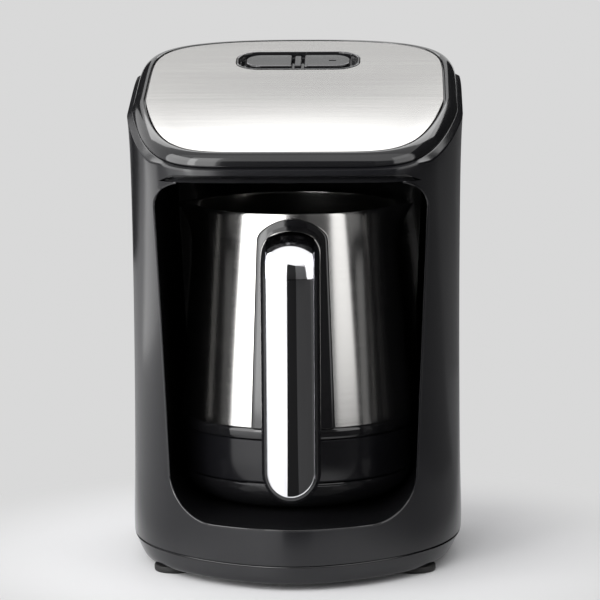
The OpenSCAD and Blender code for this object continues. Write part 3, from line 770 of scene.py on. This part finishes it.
class COFFEE_OT_rear_cover(CoffeePiece, bpy.types.Operator):
    """Rear cover with its air slots, screw wells and cord hole"""
    bl_idname = "coffee.rear_cover"
    bl_label = "Rear cover"

    def build(self, scene):
        house = self.house
        brim = [(LAP, RIM_DROP + 0.4, 0), (LAP + 0.1, RIM_DROP + 0.2, 0),
                (LAP + 0.4, RIM_DROP + 0.1, 0), (LAP + house.h.wall, RIM_DROP + 0.1, 0)]
        cover = loft("rear_cover_skin", wall_rings(house, LAP, brim), loop=True)
        overlap = 8           # how far it reaches in under the front shell
        cut(cover, block("rear half", (-FAR, house.h.step_y - overlap, -20), (FAR, FAR, 400)),
            keep=True)
        r, pitch = 1.5, 8     # air slots with round ends
        slots = [prism("slot", arc(x, high - r, r, 0, math.pi, 8)
                       + arc(x, low + r, r, math.pi, TURN, 8), 60, 120)
                 for low, high in ((44, 66), (196, 210)) for x in range(-4 * pitch, 33, pitch)]
        cut(cover, join(*slots))
        wells = [bar("well", (x, 76.5, z), (x, 120, z), 3.9) for z in (36, 176) for x in (-40, 40)]
        cut(cover, join(*wells, bar("gland hole", (0, 60, 22), (0, 120, 22), 7.2)))
        done(cover, "housing", "satin_black", "rear_cover")


class COFFEE_OT_base(CoffeePiece, bpy.types.Operator):
    """Base plate with its seam and air slots"""
    bl_idname = "coffee.base"
    bl_label = "Base"

    def build(self, scene):
        seam = self.house.h.seam_h
        # height and inset: rounded foot, wall, groove of the seam, inside
        levels = [(3, 3.0), (3, 2.2), (3.1, 1.7), (3.35, 1.2), (3.8, 0.75), (4.5, 0.38),
                  (5.4, 0.14), (6.5, 0.02), (8, 0), (9.6, 0), (seam - 0.36, 0.02),
                  (seam - 0.3, 0.1), (seam - 0.28, 0.8), (seam, 0.95), (seam, 3.4), (5.6, 3.4)]
        base = loft("base_skin", [self.house.base_ring(*level) for level in levels])
        slots = [block("slot", (x - 1.5, 12, 0), (x + 1.5, 46, 5.4)) for x in range(-27, 28, 9)]
        cut(base, join(*slots))
        done(base, "housing", "satin_black", "base_plate")


class COFFEE_OT_niche(CoffeePiece, bpy.types.Operator):
    """Lining of the niche, its lip over the opening, and the pedestal"""
    bl_idname = "coffee.niche"
    bl_label = "Niche"

    def build(self, scene):
        house = self.house
        back, ceiling, foot, top = house.n.back, house.n.ceiling, house.n.floor, house.n.landing
        edge = [(x, house.front_y(x, z), z) for x, z in house.niche_points()]

        def level(grow, y):
            return [(x, y, z) for x, z in house.niche_points(grow)]

        def behind(grow, off):
            return [(x, front + off, z)
                    for (x, z), (_, front, _) in zip(house.niche_points(grow), edge)]

        round_r = 2.4         # round the edge of the back wall
        rings = [level(1.8, back + 2.5), behind(1.8, 3.2), behind(0.0, 1.2)]
        rings += [level(0.0, y) for y in (-30, 10, 40)]
        rings += [level(*point) for point in arc(-round_r, back - round_r, round_r, 0, QUARTER, 6)]
        liner = loft("niche_skin", rings)
        cut(liner, block("socket window", (-17, back - 1, 43), (17, back + 5, 60)),
            bar("sensor hole", (0, 0, ceiling - 1), (0, 0, ceiling + 4), 8.2))
        # a polished bead along the edge of the opening
        path = [(x, y + 0.2, z) for x, y, z in edge if abs(x) > 50 or z < ceiling - 1]
        join(liner, hood("hood lip", house, hood_lip), bead("opening edge", path, 0.5))
        done(liner, "housing", "gloss_black", "niche_liner")

        bowl = [(32 + 22 * math.sin(a), mix(top, foot, math.cos(a)))
                for a in steps(0, QUARTER, 24, 0)[:-1]]
        profile = [(0.01, foot)] + bowl + [(53.9, 41.6), (53.6, 41.95), (53.2, top), (42, top),
                                           (41.6, 42.1), (40.6, 42.38), (40.2, 42.4),
                                           (0.01, 42.4)]
        done(lathe("pedestal_skin", profile), "housing", "gloss_black", "pedestal")


# -------------------- top

def rounded_ray(w, d, r, x, y):
    """Where the ray from the middle through (x, y) meets a rounded rectangle."""
    reach = math.hypot(x, y)
    c, s = x / reach, y / reach

    def inside(k):
        qx, qy = abs(c * k) - (w / 2 - r), abs(s * k) - (d / 2 - r)
        return math.hypot(max(qx, 0), max(qy, 0)) + min(max(qx, qy), 0) < r

    border = bisect(w, inside)
    return (c * border, s * border)


def rounded_outline(x0, x1, half, radii, count=10):
    """A rectangle whose four corners have their own radii, from the upper right round."""
    points = []
    for quarter, r in enumerate(radii):
        x = x1 - r if quarter in (0, 3) else x0 + r
        y = half - r if quarter in (0, 1) else r - half
        points += arc(x, y, r, QUARTER * quarter, QUARTER * (quarter + 1), count)
    return points


class COFFEE_OT_top(CoffeePiece, bpy.types.Operator):
    """Gloss rim and brushed plate of the sloping top"""
    bl_idname = "coffee.top"
    bl_label = "Top"

    def build(self, scene):
        house = self.house
        panel = Mm(scene.coffee_panel)
        # the rim's section: growth of the plate's outline and height off the plate
        profile = [(0.4, -9.5), (0.4, -RIM_DROP), (RIM_W - 0.3, -RIM_DROP),
                   (RIM_W - 0.08, -RIM_DROP + 0.1), (RIM_W, -RIM_DROP + 0.3)]
        profile += [(0.9 + (RIM_W - 0.9) * math.cos(a),
                     0.3 - RIM_DROP + (RIM_DROP - 0.1) * math.sin(a) ** 1.3)
                    for a in steps(0, QUARTER, 18)[:-1]]
        profile += [(0.95, 0.12), (0.75, -0.08), (0.62, -0.4), (0.5, -1.25), (-7, -1.25),
                    (-7, -3.6), (-2, -3.6), (-2, -9.5)]
        rim = loft("rim_skin", [house.top_ring(grow, off) for grow, off in profile], loop=True)
        done(rim, "housing", "gloss_black", "top_cover")

        hole = [rounded_ray(panel.bezel_w + 0.4, panel.bezel_d + 0.4, panel.bezel_r,
                            x, y - panel.along) for x, y in house.top_outline(0)]
        edge = [(-1.2, -1.2), (-1.2, -0.28), (-0.2, -0.22), (-0.1, -0.12), (-0.3, 0)]
        rings = [house.top_ring(grow, off) for grow, off in edge]
        pairs = list(zip(house.top_outline(edge[-1][0]), hole))
        for share in steps(0, 1, 18):
            rings.append([self.crowned(mix(x, hx, share), mix(y, hy + panel.along, share))
                          for (x, y), (hx, hy) in pairs])
        rings.append([house.on_top(x, y + panel.along, -1.2) for x, y in hole])
        plate = loft("plate_skin", rings, loop=True)
        done(plate, "housing", "brushed_plate", "top_plate", angle=25)

    def crowned(self, x, y):
        """A point of the plate, which stands up a little between its front and the bezel."""
        crown_y, crown_h = 60, 0.35
        reach, power = (60, 1) if y < crown_y else (54, 1.5)
        share = min(1.0, abs(y - crown_y) / reach)
        rise = crown_h * (1 - share * share) ** power
        return self.house.on_top(x, y, rise * max(0.0, 1 - (x / PLATE_A) ** 2))


EDGE_W = 0.55             # width of a button's rounded edge


class COFFEE_OT_panel(CoffeePiece, bpy.types.Operator):
    """Button bezel with its post, and the two buttons"""
    bl_idname = "coffee.panel"
    bl_label = "Panel"

    def button_points(self, side, grow):
        p = self.panel
        half = p.button_w / 2 + grow
        points = rounded_outline(p.button_x - half, p.button_x + half, p.button_d / 2 + grow,
                                 (7, 1.2, 1.2, 7))
        return [(side * x, y) for x, y in points[::side]]

    def ring(self, points, off):
        return [self.house.on_top(x, y + self.panel.along, off) for x, y in points]

    def build(self, scene):
        p = self.panel = Mm(scene.coffee_panel)
        # inset and height off the plate, from outside over the edge down to the floor
        levels = [(0, -6), (0, -0.1), (0.06, 0.14), (0.22, 0.27), (0.42, 0.3), (0.8, 0.28),
                  (1.0, 0.15), (1.1, -0.1), (1.25, -2.6), (1.45, -2.8)]
        rings = []
        for inset, off in levels:
            w, d, r = p.bezel_w / 2 - inset, p.bezel_d / 2 - inset, p.bezel_r - inset
            rings.append(self.ring(rounded_outline(-w, w, d, (r,) * 4, 24), off))
        bezel = loft("bezel_skin", rings)
        for side in (-1, 1):
            points = self.button_points(side, 0.25)
            cut(bezel, loft("button hole", [self.ring(points, off) for off in (-9, 1)]))
        post = rounded_outline(-1.6, 1.6, 7.5, (0.8,) * 4, 6)
        small = rounded_outline(-1.3, 1.3, 7.2, (0.6,) * 4, 6)
        join(bezel, loft("post", [self.ring(post, -4), self.ring(post, -0.35),
                                  self.ring(small, -0.05)]))
        done(bezel, "housing", "gloss_black", "button_bezel")

        low, high = -0.45, 0.15          # foot and top of a button's rounded edge
        for side, name in ((-1, "left"), (1, "right")):
            rings = [self.ring(self.button_points(side, 0), off) for off in (-5, low)]
            for a in steps(0, QUARTER, 5):
                rings.append(self.dished(side, EDGE_W * (math.cos(a) - 1),
                                         mix(low, high, math.sin(a))))
            rings += [self.dished(side, -EDGE_W, high, share)
                      for share in (0.9, 0.75, 0.5, 0.25, 0.02)]
            button = loft(f"button_{name}_skin", rings)
            if side > 0:
                window = [(p.window_x + x, y)
                          for x, y in ((-1.7, -0.75), (1.7, -0.75), (1.7, 0.75), (-1.7, 0.75))]
                cut(button, loft("window", [self.ring(window, off) for off in (-6, 3)]))
            done(button, f"button_{name}", "gloss_black", f"button_{name}")

    def dished(self, side, grow, off, share=1.0):
        """A ring of a button's top at this share of its size, sunk a little in the middle."""
        middle, dish_h = side * self.panel.button_x, 0.12
        sunk = dish_h if share < 1 else dish_h * min(1.0, -grow / EDGE_W)
        ring = []
        for x, y in self.button_points(side, grow):
            y *= share
            ring.append(self.house.on_top(mix(middle, x, share), y + self.panel.along,
                                          off - sunk * (1 - (2 * y / self.panel.button_d) ** 2)))
        return ring


# -------------------- pot

def cone(p, z):
    """Outer radius of the pot p at the height z."""
    return p.foot_r - (z - p.steel) * (p.foot_r - p.mouth_r) / (p.rim - p.steel)


def fall(edge, r):
    """How far a rounding of radius r has fallen at this distance from the edge."""
    return r - math.sqrt(max(0.0, r * r - max(0.0, r - edge) ** 2))


class COFFEE_OT_pot(CoffeePiece, bpy.types.Operator):
    """Pot body with its two pouring lips, collar and base cup"""
    bl_idname = "coffee.pot"
    bl_label = "Pot"

    def build(self, scene):
        p = Mm(scene.coffee_pot)
        lip_h, lip_half = 22, 10.5       # the lips' height and half width
        floor_r = 30                     # within this the profile is the pot's floor

        def lip(a, radius, z):
            if radius < floor_r or z < p.rim - lip_h:
                return 0.0
            off = min(abs((a + math.pi) % TURN - math.pi), abs(a - math.pi)) * p.mouth_r
            return p.lip * math.exp(-(off / lip_half) ** 2) * ((z - p.rim + lip_h) / lip_h) ** 2.2

        def around(points):
            """Points whose first value counts from the foot's radius."""
            return [(p.foot_r + off, z) for off, z in points]

        # the rings lie closer together above this height
        dense, top = 143, p.rim - p.sheet / 2
        outer = steps(p.steel, dense, 14) + steps(dense, top, 16)
        inner = steps(top, dense, 16, 0) + steps(dense, p.steel, 10)
        profile = around([(-1.6, 63), (-1.6, 67.5), (-0.3, 67.6), (0, 67.9)])
        profile += [(cone(p, z), z) for z in outer]
        profile += arc(p.mouth_r - p.sheet / 2, top, p.sheet / 2, 0, math.pi, 8, skip=1)[:-1]
        profile += [(cone(p, z) - p.sheet, z) for z in inner]
        profile += [(50, 66), (48.4, 64.9), (46, 64.6), (30, 64.6), (0.01, 64.6)]
        done(lathe("pot_body_skin", profile, 240, lip), "pot", "brushed_pot", "pot_body")

        collar = lathe("pot_collar_skin", around([
            (-1.4, 62.6), (0.1, 62.6), (0.42, 62.75), (0.58, 63.1), (0.64, 64), (0.62, 66),
            (0.5, 66.9), (0.25, 67.4), (-0.1, 67.6), (-1.4, 67.6), (-1.4, 62.6)]), 200)
        done(collar, "pot", "gloss_black", "pot_collar")
        low = p.underside
        cup = lathe("pot_cup_skin", around([
            (-3, 61), (-1.6, 62.3), (-0.6, 62.3), (-0.25, 62.15), (0, 61.8), (0, 52),
            (0, low + 1), (-0.1, low + 0.5), (-0.4, low + 0.12), (-0.9, low), (-3, low),
            (-3, 61)]), 200)
        cut(cup, block("plug window", (-15.2, 20, 44.7), (15.2, 70, 57.5)))
        done(cup, "pot", "satin_black", "pot_base_cup")


class COFFEE_OT_handle(CoffeePiece, bpy.types.Operator):
    """Backing strip, swept grip and its chrome insert"""
    bl_idname = "coffee.handle"
    bl_label = "Handle"

    def grip_depth(self, x, z, half, round_r, low):
        """How far the front of a bar lies behind its crown at x across and z up."""
        s = self.s
        end_z = low + half
        edge = max(0.0, half - (abs(x) if z > end_z else math.hypot(x, end_z - z)))
        return s.crown_r - math.sqrt(s.crown_r ** 2 - x * x) + fall(edge, round_r)

    def stations(self, low, half, turn, back):
        """Stations up a bar: height of the straight part, or angle on the bend, or arm."""
        s = self.s
        end_z = low + half
        places = [("grip", low + 0.001, 0.02)]
        places += [("grip", end_z + z, wide)
                   for wide, z in arc(0, 0, half, -QUARTER, 0, 20, skip=1)]
        places += [("grip", z, half) for z in steps(end_z, s.top - s.bend_r, 24)]
        places += [("bend", a, half) for a in steps(0, turn, 28)]
        places += [("arm", y, half) for y in steps(0, back, 6) if back]
        return places

    def at(self, kind, value, x, depth):
        """A point of the bar: x across, depth behind the outermost line."""
        s = self.s
        if kind == "grip":
            return (x, self.front + depth, value)
        y, z = self.front + s.bend_r, s.top - s.bend_r
        r = s.bend_r - depth
        if kind == "bend":
            return (x, y - r * math.cos(value), z + r * math.sin(value))
        return (x, y + value, z + r)

    def bar_rings(self, half, low, turn, back, sink, round_r, rear):
        """Closed sections of a bar. Its front is sunk by sink and its back lies at rear."""
        columns = [math.sin(a) for a in steps(-QUARTER, QUARTER, 32, 0)]
        # the back: share of the half width, and height off it at its rounded edges
        rear_edge = [(0.4, 0.0), (0.94, 0.0), (0.985, -0.3), (1.0, -0.9)]
        rear_line = rear_edge[::-1] + [(-c, off) for c, off in rear_edge]
        rings = []
        for kind, value, wide in self.stations(low, half, turn, back):
            z = value if kind == "grip" else math.inf
            ring = [self.at(kind, value, c * wide,
                            sink + self.grip_depth(c * wide, z, half, round_r, low))
                    for c in columns]
            rings.append(ring + [self.at(kind, value, c * wide, rear + off)
                                 for c, off in rear_line])
        return rings

    def build(self, scene):
        s = self.s = Mm(scene.coffee_handle)
        self.front = -self.house.h.body_d / 2
        sunk, arm = 0.4, 18.5            # the shell's front behind the chrome's; its arm
        rings = self.bar_rings(s.grip_w / 2, s.low, QUARTER, arm, sunk, 4.6, s.depth)
        done(loft("handle_shell_skin", rings), "pot", "gloss_black", "handle_shell", angle=40)
        rings = self.bar_rings(s.chrome_w / 2, s.chrome_low, math.radians(80), 0, 0.0, 0.7, 4.2)
        done(loft("handle_chrome_skin", rings), "pot", "chrome_trim", "handle_chrome", angle=40)
        rings = self.strip_rings(Mm(scene.coffee_pot))
        done(loft("handle_strip_skin", rings), "pot", "gloss_black", "handle_strip", angle=40)

    def strip_rings(self, pot):
        """Level sections of the backing strip, which follows the pot's cone."""
        s = self.s
        low, top, arch = s.strip_low, s.strip_top, s.strip_arch
        thick, edge_r, dense = 3.4, 0.9, 150
        foot_half, top_half, top_z = 19.2, 16.2, 155.5       # the strip's straight sides
        blend = 1.6                      # sharpness of the turn from the sides to the arch
        levels = [low] + steps(low + 0.5, dense, 20, 0)
        levels += [mix(top, dense, share ** 2) for share in steps(1, 0, 30, 0)]
        columns = [math.sin(a) for a in steps(-QUARTER, QUARTER, 24, 0)]
        rings = []
        for z in levels:
            straight = mix(foot_half, top_half, (z - low) / (top_z - low))
            curve = math.sqrt(max(0.0, arch ** 2 - max(0.0, z - top + arch) ** 2))
            wide = -math.log(math.exp(-straight * blend) + math.exp(-curve * blend)) / blend
            wide = max(wide, 0.02) if z < top - 0.01 else 0.02
            line = [(wide * c, thick - fall(min(wide - wide * abs(c), top - z), edge_r))
                    for c in columns] + [(wide * c, 0.1) for c in columns[::-1]]
            rings.append([(x, -math.sqrt((cone(pot, z) + out) ** 2 - x * x), z)
                          for x, out in line])
        return rings


class COFFEE_OT_feet(CoffeePiece, bpy.types.Operator):
    """Four rubber feet"""
    bl_idname = "coffee.feet"
    bl_label = "Feet"

    def build(self, scene):
        # radius and height: screw well, underside, outside, top
        profile = [(2.2, 2.8), (2.2, 1.4), (2.5, 1.1), (3.9, 1.1), (4.3, 0.7), (4.6, 0.12),
                   (4.9, 0), (8.9, 0), (9.4, 0.12), (9.7, 0.45), (9.8, 0.9), (9.8, 2.5),
                   (9.6, 2.9), (9.2, 3.0), (2.2, 3.0), (2.2, 2.8)]
        for name in ("front_left", "front_right", "rear_left", "rear_right"):
            low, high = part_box(f"foot_{name}")
            foot = lathe(f"foot_{name}_skin", profile, 96)
            middle = Vector(((low[0] + high[0]) / 2, (low[1] + high[1]) / 2, 0))
            foot.data.transform(Matrix.Translation(middle))
            done(foot, "housing", "foot_rubber", f"foot_{name}")


class COFFEE_OT_inner(CoffeePiece, bpy.types.Operator):
    """Finishes of the solids that show as they are"""
    bl_idname = "coffee.inner"
    bl_label = "Inner parts"

    def build(self, scene):
        slots = {row["node"]: row["material_slot"] for row in frame["record"]["subparts"]}
        for name, obj in NODES.items():
            finish(obj, slots[name])


# -------------------- stage

# turns are in degrees from the front to the right, reaches and heights in metres
# painted shade: dark cloths on the floor, hidden from the camera, which darken what mirrors see:
# two turns, two reaches and a tone
SHADE_CLOTHS = [(-8, 14, 0.205, 2.1, 0.012), (14, 50, 0.22, 2.1, 0.045), (50, 90, 0.25, 2.1, 0.07),
          (90, 133, 0.27, 2.1, 0.12), (133, 160, 0.55, 2.6, 0.18), (-150, -165, 1.05, 3.0, 0.02)]
# painted shade: dark screens that stand behind them, hidden from the camera: two turns, reach, a
# height at each turn and a tone
SHADE_SCREENS = [(-8, 14, 2.1, 1.5, 1.3, 0.04), (14, 40, 2.1, 1.3, 1.1, 0.18),
           (92, 133, 1.9, 1.8, 1.8, 0.03), (133, 166, 2.2, 1.8, 1.8, 0.02),
           (-150, -165, 3.0, 1.8, 1.8, 0.02)]
# light panels, which face the axis of the object: place, size and power
LIGHTS = [("left box", (-1.17, -0.675, 0.86), (1.7, 1.7), 29),
          ("front box", (-0.63, -1.36, 1.16), (0.8, 2.3), 15),
          ("right box", (1.27, -0.59, 0.81), (1.2, 1.6), 6.5),
          ("back box", (0.0, 1.15, 1.513), (2.4, 1.0), 13.5)]
AMBIENT = (0.48, 0.48, 0.49)                 # lights the object from all round
CEILING = (1.2, 1.2, 1.2)                    # the white ceiling of the studio
CAMERA_Y, CAMERA_Z = -1.484, 0.335
AIM_X, AIM_Y = 0.0015, 0.007                 # the camera looks over this point
AZIMUTH, PITCH, ROLL = (math.radians(angle) for angle in (1.9, 8.27, -0.38))


def soft_box(name, place, size, power):
    """A soft light panel at a place, turned level towards the axis."""
    lamp = bpy.data.lights.new(name, "AREA")
    lamp.shape = "RECTANGLE"
    lamp.size, lamp.size_y = size
    lamp.energy = power
    obj = bpy.data.objects.new(name, lamp)
    bpy.context.scene.collection.objects.link(obj)
    obj.location = place
    obj.rotation_euler = Vector((-place[0], -place[1], 0)).to_track_quat("-Z", "Y").to_euler()


def turned(turn, reach, z):
    """A point at this turn and reach from the middle."""
    a = math.radians(turn)
    return reach * math.sin(a), -reach * math.cos(a), z


def stage_card(name, corners, tone, glow=0.0):
    """A flat dull card of the stage between four points, hidden from the camera; a dark one paints
    shade in reflections. One that glows is a painted reflection: it shows in mirrors only.
    """
    clear_selection()
    bpy.ops.mesh.primitive_plane_add(size=1, location=(0, 0, 0))
    card = bpy.context.object
    card.name = card.data.name = name
    for vert, corner in zip(card.data.vertices, corners):
        vert.co = corner
    look = varied(name, (3, 2), spread((tone,) * 3, 0.9, 1.1), 0.9, specular_ior_level=0.0)
    card.data.materials.append(look.material)
    card.visible_camera = False
    if glow:
        look.glow_by(1.0, (glow,) * 3)
        card.visible_diffuse = False


class COFFEE_OT_stage(bpy.types.Operator):
    """Floor, backdrop, cards, soft light and the camera"""
    bl_idname = "coffee.stage"
    bl_label = "Stage"

    def floor(self, scene):
        """The floor turns into the backdrop away from the object."""
        clear_selection()
        bpy.ops.mesh.primitive_plane_add(size=24, location=(0, 0, 0))
        floor = bpy.context.object
        floor.name = "floor"
        look = Look("pale floor")
        pale = look.shade(look.noise(3, 2), *spread(scene.coffee_colours.floor, 0.99, 1.01))
        across, deep = (look.node("ShaderNodeSeparateXYZ", {}, {0: look.place}, axis)
                        for axis in (0, 1))
        # painted shade: mirrors see it darkened to black at the right, and behind at the left
        right = look.ramp(across, 0.08, 0.16, 0.75)
        left = look.ramp(across, -0.08, -0.16, 0.5) * look.ramp(deep, -0.25, -0.05)
        painted_mirror_shade = look.node("ShaderNodeMix", {"data_type": "RGBA"},
                           {0: (right + left) * look.ray("Is Glossy Ray"), 6: pale,
                            7: (0.0, 0.0, 0.0, 1.0)}, 2)
        look.set(base_color=painted_mirror_shade, roughness=0.6, specular_ior_level=0.2)
        away = look.node("ShaderNodeVectorMath", {"operation": "LENGTH"}, {0: look.place}, 1)
        look.glow_by(look.ramp(away, 0.095, 0.2) * look.ray("Is Camera Ray"),
                     scene.coffee_colours.backdrop)
        floor.data.materials.append(look.material)

    def world(self, scene):
        """Cameras and mirrors see the backdrop, everything else a dimmer light."""
        world = scene.world or bpy.data.worlds.new("World")
        scene.world = world
        world.use_nodes = True
        world.node_tree.nodes.clear()
        sky = Graph(world.node_tree)

        def blend(share, *tones):
            """A blend of two tones or shaders."""
            first, second = (tone if isinstance(tone, Socket) else
                             sky.node("ShaderNodeBackground", {}, {0: (*tone, 1)})
                             for tone in tones)
            return sky.node("ShaderNodeMixShader", {}, {0: share, 1: first, 2: second})

        mirrored = sky.ray("Is Glossy Ray")
        around = blend(sky.ray("Is Camera Ray") + mirrored, AMBIENT, scene.coffee_colours.backdrop)
        # only mirrors see the ceiling, above and in front
        way = sky.node("ShaderNodeTexCoord", {}, {}, "Generated")
        deep, up = (sky.node("ShaderNodeSeparateXYZ", {}, {0: way}, axis) for axis in (1, 2))
        overhead = mirrored * sky.ramp(up, 0.44, 0.54) * sky.ramp(deep, 0.0, -0.15)
        sky.node("ShaderNodeOutputWorld", {}, {0: blend(overhead, around, CEILING)})

    def camera(self, scene):
        """A long lens in front, a little above the object and to its right."""
        lens = bpy.data.cameras.new("camera")
        lens.sensor_width, lens.lens = 36, 192
        lens.clip_start, lens.clip_end = 0.1, 20
        camera = bpy.data.objects.new("camera", lens)
        scene.collection.objects.link(camera)
        scene.camera = camera
        camera.location = (AIM_X + (AIM_Y - CAMERA_Y) * math.tan(AZIMUTH), CAMERA_Y, CAMERA_Z)
        turn = (Matrix.Rotation(AZIMUTH, 3, "Z") @ Matrix.Rotation(QUARTER - PITCH, 3, "X")
                @ Matrix.Rotation(ROLL, 3, "Z"))
        camera.rotation_mode = "QUATERNION"
        camera.rotation_quaternion = turn.to_quaternion()

    def execute(self, context):
        scene = context.scene
        self.floor(scene)
        self.world(scene)
        # painted shade: dark cards, hidden from the camera, lie and stand round the camera, at the
        # right and far left, so that mirrors see dark there
        for k, (a, b, near, far, tone) in enumerate(SHADE_CLOTHS):
            stage_card(f"painted shade cloth {k}", [turned(turn, reach, 0.001) for reach in (near, far)
                                           for turn in (a, b)], tone)
        for k, (a, b, far, high_a, high_b, tone) in enumerate(SHADE_SCREENS):
            stage_card(f"painted shade screen {k}", [turned(turn, far, high * top + 0.001)
                                            for top in (0, 1)
                                            for turn, high in ((a, high_a), (b, high_b))], tone)
        # painted reflection: a pale glowing sheet that only mirrors see, behind on the left
        stage_card("painted reflection sheet", [turned(turn, reach, 0.002) for reach in (0.58, 1.7)
                                  for turn in (-108, -139)], 0.5, glow=1.3)
        for row in LIGHTS:
            soft_box(*row)
        scene.view_settings.view_transform = "Standard"
        self.camera(scene)
        return {"FINISHED"}


class COFFEE_PT_panel(bpy.types.Panel):
    """Settings and pieces of the coffee maker"""
    bl_idname = "COFFEE_PT_panel"
    bl_label = "Coffee maker"
    bl_space_type = "VIEW_3D"
    bl_region_type = "UI"
    bl_category = "Coffee"

    def draw(self, context):
        layout = self.layout
        for name, group in SETTINGS.items():
            box = layout.box()
            box.label(text=name.replace("_", " ").title())
            for key in group.__annotations__:
                box.prop(getattr(context.scene, name), key)
        for operator in OPERATORS:
            layout.operator(operator.bl_idname)


OPERATORS = (
    COFFEE_OT_finishes, COFFEE_OT_front_shell, COFFEE_OT_rear_cover, COFFEE_OT_base,
    COFFEE_OT_niche, COFFEE_OT_top, COFFEE_OT_panel, COFFEE_OT_pot, COFFEE_OT_handle,
    COFFEE_OT_feet, COFFEE_OT_inner, COFFEE_OT_stage,
)
CLASSES = (*SETTINGS.values(), *OPERATORS, COFFEE_PT_panel)


def register():
    for cls in CLASSES:
        bpy.utils.register_class(cls)
    for name, group in SETTINGS.items():
        setattr(bpy.types.Scene, name, bpy.props.PointerProperty(type=group))


def unregister():
    for name in SETTINGS:
        delattr(bpy.types.Scene, name)
    for cls in reversed(CLASSES):
        bpy.utils.unregister_class(cls)


def main():
    register()
    for operator in OPERATORS:
        group, name = operator.bl_idname.split(".")
        getattr(getattr(bpy.ops, group), name)()


if __name__ == "__main__":
    main()
